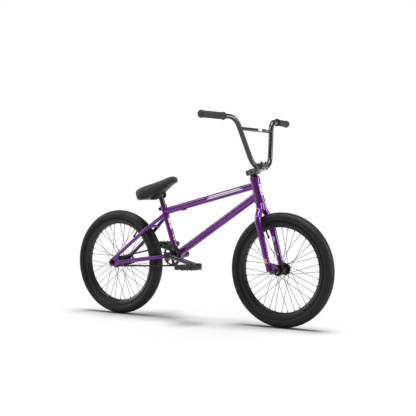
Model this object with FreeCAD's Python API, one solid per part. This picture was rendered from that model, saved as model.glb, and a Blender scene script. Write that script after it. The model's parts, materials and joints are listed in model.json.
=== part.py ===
"""A freestyle BMX bicycle with 20 inch wheels, built as separate pieces.

Millimetres. +X is forward, +Y is the rider's left, +Z is up. The origin is on the ground,
midway between the two wheel axles. The chain is on the rider's right, at -Y.
"""

import FreeCAD
import Part
import math
import os

from FreeCAD import Vector

# ---------------------------------------------------------------- driving dimensions
TYRE_R = 255.0            # outer radius of both tyres
WHEELBASE = 918.0
CHAIN_PITCH = 12.7
SPROCKET_TEETH = 24
DRIVER_TEETH = 9
CHAINSTAY_LENGTH = 351.08  # closes a 72-pitch chain on those two tooth counts
BB_DROP_UP = 45.5          # bottom bracket above the wheel axles
HEAD_ANGLE = 75.0
SEAT_ANGLE = 71.0
FORK_OFFSET = 30.0
HEAD_TUBE_BOTTOM_Z = 552.5
HEAD_TUBE_LENGTH = 112.0
TOP_TUBE_REAR_Z = 506.0
TOP_TUBE_FRONT_Z = 630.0
DOWN_TUBE_FRONT_Z = 588.0
SEAT_TUBE_TOP_Z = 535.0
SADDLE_TILT = 19.0         # degrees, nose up
CRANK_LENGTH = 175.0
CRANK_ANGLE = -13.8        # right crank, degrees above straight ahead
BAR_RISE = 215.5
BAR_REACH = 48.2           # bar centre ahead of the steering axis
STEM_LOW = 16.5            # underside and top of the stem above the head tube
STEM_HIGH = 40.5
BAR_STACK = 38.4           # bar centre above the head tube, along the steering axis

# tube outer radii and wall
HEAD_TUBE_R = 22.0
TOP_TUBE_R = 15.9
DOWN_TUBE_R = 17.5
SEAT_TUBE_R = 14.3
CHAINSTAY_R = 9.5
SEATSTAY_R = 8.5
BB_SHELL_R = 23.8
STEERER_R = 14.3
FORK_LEG_R = 14.6          # from the crown down to where the taper starts
FORK_LEG_LOW_R = 11.6      # at the dropout
FORK_TAPER_FROM = 120.0    # below the head tube, along the steering axis
BAR_R = 11.1
POST_R = 12.7
WALL = 1.2

# widths along Y, measured from the middle plane
BB_HALF = 34.0
REAR_DROPOUT_IN = 55.0
FORK_DROPOUT_IN = 50.0
DROPOUT_THICK = 6.0
CHAINLINE = 43.0
CRANK_ARM_Y = 69.0
PEDAL_INNER = 93.0         # the pedals' inner and outer edges
PEDAL_OUTER = 198.0
AXLE_STUB = 7.0            # how far each axle stands out of its nuts
RUN = 0.05                 # radial clearance of a running fit
GAP = 0.4                  # gap between faces that turn past each other

# ---------------------------------------------------------------- points that follow
REAR = Vector(-WHEELBASE / 2, 0, TYRE_R)
FRONT = Vector(WHEELBASE / 2, 0, TYRE_R)
BB = REAR + Vector(math.sqrt(CHAINSTAY_LENGTH**2 - BB_DROP_UP**2), 0, BB_DROP_UP)
HEAD = math.radians(HEAD_ANGLE)
SEAT = math.radians(SEAT_ANGLE)
STEER_UP = Vector(-math.cos(HEAD), 0, math.sin(HEAD))
STEER_FWD = Vector(math.sin(HEAD), 0, math.cos(HEAD))
SEAT_UP = Vector(-math.cos(SEAT), 0, math.sin(SEAT))
SEAT_FWD = Vector(math.sin(SEAT), 0, math.cos(SEAT))
SIDE = Vector(0, 1, 0)
AXIS_FOOT = FRONT - Vector(FORK_OFFSET / math.sin(HEAD), 0, 0)


def steer_at(z):
    """The point of the steering axis at height z."""
    return AXIS_FOOT + STEER_UP * ((z - AXIS_FOOT.z) / STEER_UP.z)


def seat_at(z):
    """The point of the seat tube's axis at height z."""
    return BB + SEAT_UP * ((z - BB.z) / SEAT_UP.z)


HEAD_LOW = steer_at(HEAD_TUBE_BOTTOM_Z)
HEAD_HIGH = HEAD_LOW + STEER_UP * HEAD_TUBE_LENGTH


def steer_point(up, forward=0.0, y=0.0):
    """A point given along the steering axis from the head tube's top, ahead of it, and sideways."""
    return HEAD_HIGH + STEER_UP * up + STEER_FWD * forward + SIDE * y


nodes = {}


def add(name, *solids):
    """Keeps a node's solids; a node holds one or more separate closed solids."""
    flat = [s for shape in solids for s in shape.Solids]
    nodes[name] = flat


# ---------------------------------------------------------------- helpers
def cyl(a, b, r):
    d = b - a
    return Part.makeCylinder(r, d.Length, a, d)


def longer(a, b, extra):
    d = (b - a).normalize() * extra
    return a - d, b + d


def ring(a, b, outer, inner):
    """A tube from a to b, open at both ends."""
    return cyl(a, b, outer).cut(cyl(*longer(a, b, 1.0), inner))


def cone(a, b, ra, rb):
    d = b - a
    return Part.makeCone(ra, rb, d.Length, a, d)


def box_at(centre, ex, ey, ez, size):
    """A box of size (x, y, z) about centre, with its edges along the unit vectors ex, ey, ez."""
    b = Part.makeBox(*size, Vector(-size[0] / 2, -size[1] / 2, -size[2] / 2))
    m = FreeCAD.Matrix(
        ex.x, ey.x, ez.x, centre.x,
        ex.y, ey.y, ez.y, centre.y,
        ex.z, ey.z, ez.z, centre.z,
        0, 0, 0, 1,
    )
    return b.transformed(m)


def bent_wire(points, radii):
    """Straight runs joined by tangent arcs; radii has one value for each inner point."""
    edges = []
    start = points[0]
    for i, r in enumerate(radii):
        a, b, c = points[i], points[i + 1], points[i + 2]
        u, v = (a - b).normalize(), (c - b).normalize()
        half = math.acos(max(-1.0, min(1.0, u.dot(v)))) / 2
        t = r / math.tan(half)
        p, q = b + u * t, b + v * t
        centre = b + (u + v).normalize() * (r / math.sin(half))
        mid = centre + (b - centre).normalize() * r
        edges.append(Part.LineSegment(start, p).toShape())
        edges.append(Part.Arc(p, mid, q).toShape())
        start = q
    edges.append(Part.LineSegment(start, points[-1]).toShape())
    return Part.Wire(edges)


def swept_rod(points, radii, r):
    """A solid round rod along a bent wire."""
    spine = bent_wire(points, radii)
    circle = Part.Wire(Part.makeCircle(r, points[0], points[1] - points[0]))
    pipe = Part.BRepOffsetAPI.MakePipeShell(spine)
    pipe.add(circle)
    pipe.build()
    pipe.makeSolid()
    return Part.Solid(pipe.shape()) if pipe.shape().ShapeType != "Solid" else pipe.shape()


def swept_tube(points, radii, outer, inner):
    first = (points[0] - points[1]).normalize() * 0.5
    last = (points[-1] - points[-2]).normalize() * 0.5
    core = [points[0] + first, *points[1:-1], points[-1] + last]
    return swept_rod(points, radii, outer).cut(swept_rod(core, radii, inner))


def polygon_face(points):
    return Part.Face(Part.makePolygon([*points, points[0]]))


def revolve_y(wire, centre):
    """Turns a wire drawn in the plane of Y and +Z about the Y axis through centre."""
    return Part.Face(wire).revolve(centre, SIDE, 360)


def plate(points, y0, thickness):
    """A flat plate with corners given as (x, z), from y0 towards +Y."""
    return polygon_face([Vector(x, y0, z) for x, z in points]).extrude(Vector(0, thickness, 0))


def hex_prism(a, b, across_flats):
    """A six-sided prism from a to b."""
    d = b - a
    u = d.cross(Vector(0.31, 0.17, 0.93)).normalize()
    v = (b - a).normalize().cross(u)
    r = across_flats / math.sqrt(3)
    pts = [a + u * (r * math.cos(k * math.pi / 3)) + v * (r * math.sin(k * math.pi / 3)) for k in range(6)]
    return polygon_face(pts).extrude(d)


def cap_screw(seat, direction, r, length, head_r, head_h, socket_af):
    """A socket-head screw: its head stands on seat, and its shank runs along direction."""
    d = Vector(direction).normalize()
    head = cyl(seat - d * head_h, seat, head_r)
    socket = hex_prism(seat - d * (head_h + 1), seat - d * (head_h * 0.4), socket_af)
    return head.fuse(cyl(seat, seat + d * length, r)).removeSplitter().cut(socket)


# ---------------------------------------------------------------- frame
def frame_tubes():
    collar = 12.0
    bearing_seat = 9.0
    head = ring(HEAD_LOW, HEAD_HIGH, HEAD_TUBE_R, 18.0)
    head_collars = [cyl(HEAD_LOW, HEAD_LOW + STEER_UP * collar, HEAD_TUBE_R + 2.0),
                    cyl(HEAD_HIGH - STEER_UP * collar, HEAD_HIGH, HEAD_TUBE_R + 1.0)]
    head = head.fuse(head_collars)
    for end, way in ((HEAD_LOW, STEER_UP), (HEAD_HIGH, STEER_UP * -1)):
        head = head.cut(cyl(end - way, end + way * bearing_seat, 20.9))
    head = head.cut(cyl(HEAD_LOW, HEAD_HIGH, 18.0)).removeSplitter()
    add("head_tube", head)
    head_solid = cyl(*longer(HEAD_LOW, HEAD_HIGH, 5), HEAD_TUBE_R)

    shell_a, shell_b = BB - SIDE * BB_HALF, BB + SIDE * BB_HALF
    add("bb_shell", ring(shell_a, shell_b, BB_SHELL_R, 20.6))
    shell_solid = cyl(*longer(shell_a, shell_b, 5), BB_SHELL_R)

    seat_top = seat_at(SEAT_TUBE_TOP_Z)
    seat_outer = cyl(BB, seat_top, SEAT_TUBE_R)
    clamp_low = seat_top - SEAT_UP * 24
    ear = box_at(seat_top - SEAT_UP * 11 - SEAT_FWD * 18.5, SEAT_FWD, SIDE, SEAT_UP, (14, 15, 16))
    tube = seat_outer.fuse([cyl(clamp_low, seat_top, SEAT_TUBE_R + 1.8), ear])
    tube = tube.cut(cyl(BB, seat_top + SEAT_UP, POST_R + RUN))
    slot = box_at(seat_top - SEAT_UP * 14 - SEAT_FWD * 20, SEAT_FWD, SIDE, SEAT_UP, (30, 2.0, 34))
    clamp_hole_mid = seat_top - SEAT_UP * 11 - SEAT_FWD * 20.5
    tube = tube.cut([slot, shell_solid, cyl(clamp_hole_mid - SIDE * 20, clamp_hole_mid + SIDE * 20, 3.1)])
    add("seat_tube", tube.removeSplitter())
    seat_solid = cyl(BB, seat_top, SEAT_TUBE_R).fuse(cyl(clamp_low, seat_top, SEAT_TUBE_R + 1.8))

    bolt_right = clamp_hole_mid - SIDE * 7.5
    add("seat_clamp_bolt", cap_screw(bolt_right, SIDE, 3.0, 18.0, 5.0, 5.5, 5.0))

    top_rear, top_front = seat_at(TOP_TUBE_REAR_Z), steer_at(TOP_TUBE_FRONT_Z)
    top = ring(top_rear, top_front, TOP_TUBE_R, TOP_TUBE_R - WALL)
    top_dir = (top_front - top_rear).normalize()
    top_down = Vector(top_dir.z, 0, -top_dir.x)
    boss_at = top_rear + top_dir * 112 + top_down * (TOP_TUBE_R - 1.5)
    boss = box_at(boss_at + top_down * 2.2, top_dir, SIDE, top_down, (26, 9, 7))
    top = top.fuse(boss.cut(cyl(top_rear, top_front, TOP_TUBE_R - WALL)))
    for k in (-8, 8):
        hole = boss_at + top_dir * k
        top = top.cut(cyl(hole - top_down * 1.0, hole + top_down * 8, 1.6))
    top = top.cut([head_solid, *head_collars, seat_solid])
    add("top_tube", max(top.Solids, key=lambda s: s.Volume))

    down_front = steer_at(DOWN_TUBE_FRONT_Z)
    down = ring(BB, down_front, DOWN_TUBE_R, DOWN_TUBE_R - WALL)
    down = down.cut([head_solid, *head_collars, shell_solid, cyl(BB, seat_top, SEAT_TUBE_R)])
    down = down.cut(cyl(top_rear, top_front, TOP_TUBE_R))
    add("down_tube", max(down.Solids, key=lambda s: s.Volume))
    return shell_solid, seat_solid


def rear_dropout(side):
    """The plate that holds one end of the rear axle, with its slot open to the rear."""
    y0 = REAR_DROPOUT_IN if side > 0 else -REAR_DROPOUT_IN - DROPOUT_THICK
    x, z = REAR.x, REAR.z
    outline = [(x - 12, z + 15), (x - 18, z + 8), (x - 18, z - 10), (x - 9, z - 18), (x + 16, z - 18),
               (x + 46, z - 9), (x + 46, z + 11), (x + 34, z + 24), (x + 40, z + 40), (x + 30, z + 46),
               (x + 8, z + 27)]
    body = plate(outline, y0, DROPOUT_THICK)
    vertical = [e for e in body.Edges if abs(e.tangentAt(e.FirstParameter).y) > 0.99]
    body = body.makeFillet(4.0, vertical)
    slot = Part.makeBox(60, 20, 14.2, Vector(x - 60, y0 - 5, z - 7.1))
    seat = Part.makeCylinder(7.1, 20, Vector(x, y0 - 5, z), SIDE)
    window = Part.makeCylinder(5.0, 20, Vector(x + 27, y0 - 5, z + 14), SIDE)
    return body.cut([slot, seat, window])


def stays(shell_solid, seat_solid):
    """Two chainstays, two seatstays, the bridges between them and the rear dropouts."""
    to_rear = (REAR - BB).normalize()
    dropouts = {side: rear_dropout(side) for side in (-1, 1)}
    add("rear_dropouts", dropouts[-1], dropouts[1])

    def along(distance, y, drop=0.0):
        return BB + to_rear * distance + SIDE * y - Vector(0, 0, drop)

    chain_run = {}
    for side, label in ((-1, "right"), (1, "left")):
        points = [along(6, side * 24.5), along(58, side * 26.5), along(128, side * 42.5, 1.2),
                  along(318, side * 54.0, 2.6)]
        stay = swept_tube(points, [70, 130], CHAINSTAY_R, CHAINSTAY_R - WALL)
        stay = stay.cut([shell_solid, dropouts[side]])
        chain_run[side] = points
        add(f"chainstay_{label}", max(stay.Solids, key=lambda s: s.Volume))

    high_z = 492.0
    high = seat_at(high_z)
    seat_run = {}
    for side, label in ((-1, "right"), (1, "left")):
        low = Vector(REAR.x + 31, side * 58.5, REAR.z + 36)
        elbow = Vector(REAR.x + 178, side * 43.5, 0)
        elbow.z = low.z + (high.z - low.z) * (elbow.x - low.x) / (high.x - low.x)
        points = [low, elbow, high + SIDE * (side * 13.0)]
        stay = swept_tube(points, [220], SEATSTAY_R, SEATSTAY_R - WALL)
        stay = stay.cut([seat_solid, dropouts[side]])
        seat_run[side] = points
        add(f"seatstay_{label}", max(stay.Solids, key=lambda s: s.Volume))

    def bridge(centre, half, cutters):
        bar = cyl(centre - SIDE * half, centre + SIDE * half, 7.0)
        return max(bar.cut(cutters).Solids, key=lambda s: s.Volume)

    seat_cores = [swept_rod(seat_run[s], [220], SEATSTAY_R) for s in (-1, 1)]
    chain_cores = [swept_rod(chain_run[s], [70, 130], CHAINSTAY_R) for s in (-1, 1)]
    low, elbow, top = seat_run[1]
    upper = elbow + (top - elbow) * 0.30
    upper_mid = Vector(upper.x, 0, upper.z)
    lower_mid = along(64, 0)
    add("stay_bridges", bridge(upper_mid, upper.y, seat_cores), bridge(lower_mid, 26, chain_cores))


def chain_tensioners():
    """A short screw and its block in each rear dropout slot, behind the axle."""
    pieces = []
    x, z = REAR.x, REAR.z
    for side in (-1, 1):
        y = side * (REAR_DROPOUT_IN + DROPOUT_THICK / 2)
        depth = DROPOUT_THICK - 0.6
        block = Part.makeBox(4.5, depth, 13.6, Vector(x - 17.5, y - depth / 2, z - 6.8))
        screw = cyl(Vector(x - 20, y, z), Vector(x - 7.2, y, z), 2.0)
        head = cyl(Vector(x - 21, y, z), Vector(x - 18, y, z), 3.2)
        pieces.append(block.fuse([screw, head]).removeSplitter())
    add("chain_tensioners", *pieces)


# ---------------------------------------------------------------- headset and bottom bracket
def bearings():
    lower = HEAD_LOW
    upper = HEAD_HIGH
    add("headset_bearings",
        ring(lower + STEER_UP * 1.0, lower + STEER_UP * 8.5, 20.85, STEERER_R + 1.7),
        ring(upper - STEER_UP * 8.5, upper - STEER_UP * 1.0, 20.85, STEERER_R + 1.7))
    add("bb_bearings", *[ring(BB + SIDE * (s * 22), BB + SIDE * (s * 33), 20.55, 9.5 + RUN) for s in (-1, 1)])


# ---------------------------------------------------------------- chain and its wheels
def chain_axes():
    """Unit vectors along the chain line, away from the rear axle, and across it, upwards."""
    away = (BB - REAR).normalize()
    return away, Vector(-away.z, 0, away.x)


def pitch_radius(teeth):
    return CHAIN_PITCH / (2 * math.sin(math.pi / teeth))


def chain_rollers():
    """The centre of each roller, in order round the loop."""
    away, across = chain_axes()
    plane = SIDE * -CHAINLINE
    r_front, r_rear = pitch_radius(SPROCKET_TEETH), pitch_radius(DRIVER_TEETH)

    def arc(centre, ahead, r, step, first, last):
        angles = range(first, last + step, step)
        turns = [math.radians(a) for a in angles]
        return [centre + plane + ahead * (r * math.cos(t)) + across * (r * math.sin(t)) for t in turns]

    front = arc(BB, away, r_front, 15, -90, 90)
    rear = arc(REAR, away * -1, r_rear, -40, 80, -80)
    span = round((rear[0] - front[-1]).Length / CHAIN_PITCH)
    top = [front[-1] + (rear[0] - front[-1]) * (k / span) for k in range(1, span)]
    low = [rear[-1] + (front[0] - rear[-1]) * (k / span) for k in range(1, span)]
    return front + top + rear + low


def link_plate(a, b, y, thickness):
    """One side plate between two roller centres, with a waist."""
    u = (b - a).normalize()
    w = u.cross(SIDE)
    base = SIDE * y
    ends = [Part.makeCylinder(4.2, thickness, p + base, SIDE) for p in (a, b)]
    half = 3.3
    web = polygon_face([a + w * half + base, b + w * half + base, b - w * half + base, a - w * half + base])
    return ends[0].fuse([ends[1], web.extrude(SIDE * thickness)])


def chain():
    rollers = chain_rollers()
    links = []
    for i, a in enumerate(rollers):
        b = rollers[(i + 1) % len(rollers)]
        if i % 2 == 0:
            parts = [link_plate(a, b, y, 1.1) for y in (-2.85, 1.75)]
            parts += [Part.makeCylinder(3.85, 3.5, p - SIDE * 1.75, SIDE) for p in (a, b)]
            link = parts[0].fuse(parts[1:])
            link = link.cut([Part.makeCylinder(1.9, 12, p - SIDE * 6, SIDE) for p in (a, b)])
        else:
            parts = [link_plate(a, b, y, 1.2) for y in (-4.3, 3.1)]
            parts += [Part.makeCylinder(1.8, 9.6, p - SIDE * 4.8, SIDE) for p in (a, b)]
            link = parts[0].fuse(parts[1:])
        links.append(link.removeSplitter())
    add("chain", *links)


def toothed_disc(centre, teeth, ahead, thickness):
    """A sprocket blank: a disc whose tooth gaps seat the rollers, one gap pointing along ahead."""
    r = pitch_radius(teeth)
    across = SIDE.cross(ahead) * -1
    disc = Part.makeCylinder(r + 3.4, thickness, centre - SIDE * (thickness / 2), SIDE)
    cutters = []
    flare = math.radians(24)
    seat = 4.05
    for k in range(teeth):
        t = 2 * math.pi * k / teeth
        out = ahead * math.cos(t) + across * math.sin(t)
        flat = SIDE.cross(out)
        c = centre + out * r - SIDE * thickness
        near = seat * math.cos(flare)
        drop = -seat * math.sin(flare)
        reach = 8.0
        far = near + (reach - drop) * math.tan(flare)
        wedge = polygon_face([c + out * drop + flat * near, c + out * reach + flat * far,
                              c + out * reach - flat * far, c + out * drop - flat * near])
        cutters.append(Part.makeCylinder(seat, 2 * thickness, c, SIDE))
        cutters.append(wedge.extrude(SIDE * (2 * thickness)))
    return disc.cut(cutters)


def crank_direction(side):
    """Unit vector from the bottom bracket to a pedal: right is -1, left is 1."""
    t = math.radians(CRANK_ANGLE)
    return Vector(math.cos(t), 0, math.sin(t)) * -side


def sprocket():
    away, _ = chain_axes()
    centre = BB - SIDE * CHAINLINE
    disc = toothed_disc(centre, SPROCKET_TEETH, away, 2.8)
    web = Part.makeCylinder(43.0, 5.0, centre - SIDE * 2.5, SIDE)
    body = disc.fuse(web)
    arm = crank_direction(-1)
    flat = SIDE.cross(arm)
    arms = 6
    for k in range(arms):
        t = 2 * math.pi * (k + 0.5) / arms
        half = math.radians(20)
        out = arm * math.cos(t) + flat * math.sin(t)
        pts = []
        for r, sign in ((17.5, -1), (37.5, -1), (37.5, 1), (17.5, 1)):
            spread = half * (1.0 if r > 30 else 0.45) * sign
            direction = arm * math.cos(t + spread) + flat * math.sin(t + spread)
            pts.append(centre - SIDE * 8 + direction * r)
        crown = centre - SIDE * 8 + out * 39.5
        edges = [Part.LineSegment(pts[0], pts[1]).toShape(), Part.Arc(pts[1], crown, pts[2]).toShape(),
                 Part.LineSegment(pts[2], pts[3]).toShape(), Part.LineSegment(pts[3], pts[0]).toShape()]
        window = Part.Face(Part.Wire(edges)).extrude(SIDE * 16)
        rounded = [e for e in window.Edges if abs(e.tangentAt(e.FirstParameter).y) > 0.99]
        body = body.cut(window.makeFillet(2.0, rounded))
    body = body.cut(Part.makeCylinder(9.6, 20, centre - SIDE * 10, SIDE))
    body = body.cut(Part.makeCylinder(4.1, 20, centre + arm * 26 - SIDE * 10, SIDE))
    add("sprocket", body.removeSplitter())


def driver():
    """The nine-tooth cog and the sleeve that carries it beside the rear hub."""
    away, _ = chain_axes()
    cog = toothed_disc(REAR - SIDE * CHAINLINE, DRIVER_TEETH, away * -1, 2.6)
    sleeve = cyl(REAR - SIDE * 49.2, REAR - SIDE * 31.0, 12.8)
    body = cog.fuse(sleeve).cut(cyl(REAR - SIDE * 60, REAR - SIDE * 20, 7.0 + RUN))
    add("driver", body.removeSplitter())


# ---------------------------------------------------------------- cranks and pedals
def crankset():
    spindle_r = 9.5
    spindle = cyl(BB - SIDE * 78.5, BB + SIDE * 78.5, spindle_r)
    for side in (-1, 1):
        spindle = spindle.cut(cyl(BB + SIDE * (side * 50), BB + SIDE * (side * 80), 4.02))
    add("crank_spindle", spindle)
    add("bb_spacers",
        ring(BB - SIDE * 40.2, BB - SIDE * (BB_HALF + GAP), 13.5, spindle_r),
        ring(BB + SIDE * (BB_HALF + GAP), BB + SIDE * 56.6, 13.5, spindle_r),
        ring(BB - SIDE * 21.5, BB + SIDE * 21.5, 12.0, spindle_r))
    screws = []
    for side, label in ((-1, "right"), (1, "left")):
        d = crank_direction(side)
        y = SIDE * (side * CRANK_ARM_Y)
        inner = 46.0 if side < 0 else 58.0
        end = BB + d * CRANK_LENGTH
        hub = cyl(BB + SIDE * (side * inner), BB + SIDE * (side * 80), 15.8)
        eye = cyl(end + SIDE * (side * 58.5), end + SIDE * (side * 80), 14.0)
        beam = cone(BB + y + d * 6, end + y - d * 4, 11.0, 10.8)
        arm = hub.fuse([eye, beam])
        if side < 0:
            arm = arm.fuse(cyl(BB + d * 26 - SIDE * 46.0, BB + d * 26 - SIDE * 62, 8.0))
            arm = arm.cut(cyl(BB + d * 26 - SIDE * 40, BB + d * 26 - SIDE * 57, 4.0))
        arm = arm.cut([cyl(BB - SIDE * 78.6, BB + SIDE * 78.6, spindle_r),
                       cyl(BB - SIDE * 90, BB + SIDE * 90, 4.1),
                       cyl(end, end + SIDE * (side * 90), 7.1)])
        add(f"crank_arm_{label}", arm.removeSplitter())
        screws.append(cap_screw(BB + SIDE * (side * 80.02), SIDE * -side, 4.0, 24.0, 12.5, 4.5, 8.0))
    d = crank_direction(-1)
    screws.append(cap_screw(BB + d * 26 - SIDE * 40.4, SIDE * -1, 3.95, 15.0, 6.5, 2.0, 5.0))
    add("crank_bolts", *screws)
    spindles = []
    for side in (-1, 1):
        end = BB + crank_direction(side) * CRANK_LENGTH
        thread = cyl(end + SIDE * (side * 60), end + SIDE * (side * 80), 7.0)
        flats = hex_prism(end + SIDE * (side * 80), end + SIDE * (side * 88), 16.0)
        shaft = cyl(end + SIDE * (side * 80), end + SIDE * (side * (PEDAL_OUTER - 8)), 6.0)
        spindles.append(thread.fuse([flats, shaft]).removeSplitter())
    add("pedal_spindles", *spindles)


def pedal(side):
    """A flat platform pedal with a bored centre tube, windows and grip pins on both faces."""
    end = BB + crank_direction(side) * CRANK_LENGTH
    half_thick = 8.5
    pin_reach = 12.5

    def at(x, depth, z=0.0):
        """A point of the pedal: depth is measured from its inner edge, away from the bicycle."""
        return end + Vector(x, side * (PEDAL_INNER + depth), z)

    width = PEDAL_OUTER - PEDAL_INNER
    front = [(33, 0), (44, 14), (51, 32), (52, 62), (51.5, 92), (43, width)]
    outline = [at(x, depth, -half_thick) for x, depth in front]
    outline += [at(-x, depth, -half_thick) for x, depth in reversed(front)]
    body = polygon_face(outline).extrude(Vector(0, 0, 2 * half_thick))
    rims = [e for e in body.Edges if abs(e.tangentAt(e.FirstParameter).z) > 0.99]
    body = body.makeFillet(5.0, rims)
    windows = []
    for ahead in (-1, 1):
        for middle, long in ((26.0, 26.0), (52.5, 14.0), (79.0, 26.0)):
            centre = at(ahead * 27.5, middle)
            windows.append(Part.makeBox(22, long, 40, centre - Vector(11, long / 2, 20)))
    body = body.cut(windows)
    body = body.fuse(cyl(at(0, 0), at(0, width), 12.0))
    pins = []
    pin_spots = [(24, 5), (41.5, 12), (45.8, 24), (47.6, 38), (48.2, 52), (48.0, 66), (47.8, 80), (44, 93),
                 (28, width - 4)]
    for x, depth in pin_spots:
        for ahead in (-1, 1):
            pins.append(cyl(at(ahead * x, depth, -pin_reach), at(ahead * x, depth, pin_reach), 1.9))
    body = body.fuse(pins).cut(cyl(at(0, -1), at(0, width - 7), 6.0 + RUN))
    return body.removeSplitter()


# ---------------------------------------------------------------- wheels
def rim_and_tyre(centre, prefix, valve_angle):
    """The rim, the tyre casing and the inner tube with its valve, at an angle ahead of straight up."""
    def at(y, r):
        return centre + Vector(0, y, r)

    outer = [(-18, 211), (-18, 203), (-11, 190.5), (-8, 189), (8, 189), (11, 190.5), (18, 203), (18, 211),
             (16.4, 211), (16.4, 203.5), (9, 201.8), (-9, 201.8), (-16.4, 203.5), (-16.4, 211)]
    cavity = [(-14, 200.6), (-9, 191.8), (9, 191.8), (14, 200.6), (9, 199.6), (-9, 199.6)]
    rim = revolve_y(Part.makePolygon([at(*p) for p in [*outer, outer[0]]]), centre)
    rim = rim.cut(revolve_y(Part.makePolygon([at(*p) for p in [*cavity, cavity[0]]]), centre))
    holes = []
    for k in range(36):
        t = math.radians(10 * k)
        out = Vector(math.sin(t), 0, math.cos(t))
        y = SIDE * (2.5 if k % 2 == 0 else -2.5)
        holes.append(cyl(centre + y + out * 185, centre + y + out * 195, 2.2))
        holes.append(cyl(centre + y + out * 195, centre + y + out * 206, 3.8))
    t = math.radians(valve_angle)
    valve = Vector(math.sin(t), 0, math.cos(t))
    holes.append(cyl(centre + valve * 180, centre + valve * 208, 4.2))
    add(f"{prefix}_rim", rim.cut(holes))

    def arc(a, b, c):
        return Part.Arc(at(*a), at(*b), at(*c)).toShape()

    def line(a, b):
        return Part.LineSegment(at(*a), at(*b)).toShape()

    crown, inner_crown = TYRE_R, TYRE_R - 5.0
    tyre = Part.Wire([
        line((-16, 204.2), (-16, 211.5)), arc((-16, 211.5), (-26.0, 218.5), (-30, 230)),
        arc((-30, 230), (0, crown), (30, 230)), arc((30, 230), (26.0, 218.5), (16, 211.5)),
        line((16, 211.5), (16, 204.2)), line((16, 204.2), (12.4, 204.2)), line((12.4, 204.2), (12.4, 213.5)),
        arc((12.4, 213.5), (22.6, 220.2), (26.4, 230)), arc((26.4, 230), (0, inner_crown), (-26.4, 230)),
        arc((-26.4, 230), (-22.6, 220.2), (-12.4, 213.5)), line((-12.4, 213.5), (-12.4, 204.2)),
        line((-12.4, 204.2), (-16, 204.2))])
    add(f"{prefix}_tyre", revolve_y(tyre, centre))

    tube = Part.makeTorus(230, 19.5, centre, SIDE)
    stem = cyl(centre + valve * 212.5, centre + valve * 160, 3.9)
    stem = stem.fuse(cyl(centre + valve * 164, centre + valve * 152, 4.8))
    tube = tube.fuse(stem).cut(Part.makeTorus(230, 17.8, centre, SIDE))
    add(f"{prefix}_tube", max(tube.Solids, key=lambda s: s.BoundBox.DiagonalLength * 1e6 + s.Volume))


def spokes(centre, prefix, flange_r, flange_y):
    """Thirty-six laced spokes with their nipples. flange_y gives the two flanges' mid planes."""
    r = 1.0
    flange_half = 1.6
    pieces = []
    for side, y_flange in ((1, flange_y[1]), (-1, flange_y[0])):
        for k in range(18):
            base = 20 * k + (0 if side > 0 else 10)
            turn = 60 if k % 2 == 0 else -60
            t_hub, t_rim = math.radians(base), math.radians(base + turn)
            hub_dir = Vector(math.sin(t_hub), 0, math.cos(t_hub))
            rim_dir = Vector(math.sin(t_rim), 0, math.cos(t_rim))
            outside = 1 if k % 2 == 0 else -1
            near = flange_half + r + 0.15
            # a spoke that leaves on the flange's outer face has to clear its edge on the way in
            leave = near + 1.4 if outside > 0 else near
            elbow = centre + hub_dir * flange_r + SIDE * (y_flange + side * outside * leave)
            head = centre + hub_dir * flange_r + SIDE * (y_flange - side * outside * near)
            # the shank leaves the elbow and meets the rim's hole along the hole's own axis
            grip = centre + rim_dir * 181.0 + SIDE * (side * 2.5)
            shank = cyl(elbow, grip, r)
            pin = cyl(elbow, head, r)
            cap = cyl(head, head + SIDE * (-side * outside * 0.8), 1.9)
            spoke = shank.fuse([pin, Part.makeSphere(r, elbow), cap])
            nipple = cyl(grip, centre + rim_dir * 194 + SIDE * (side * 2.5), 1.95)
            nipple = nipple.fuse([cyl(centre + rim_dir * 192.2 + SIDE * (side * 2.5),
                                      centre + rim_dir * 195.5 + SIDE * (side * 2.5), 3.0)])
            spoke = spoke.fuse(nipple)
            pieces.append(spoke.removeSplitter())
    add(f"{prefix}_spokes", *pieces)


def flange(centre, y, r, hole_circle, offset_deg):
    disc = Part.makeCylinder(r, 3.2, centre + SIDE * (y - 1.6), SIDE)
    holes = []
    for k in range(18):
        t = math.radians(20 * k + offset_deg)
        c = centre + Vector(math.sin(t), 0, math.cos(t)) * hole_circle
        holes.append(Part.makeCylinder(1.35, 8, c + SIDE * (y - 4), SIDE))
    return disc.cut(holes)


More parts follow.
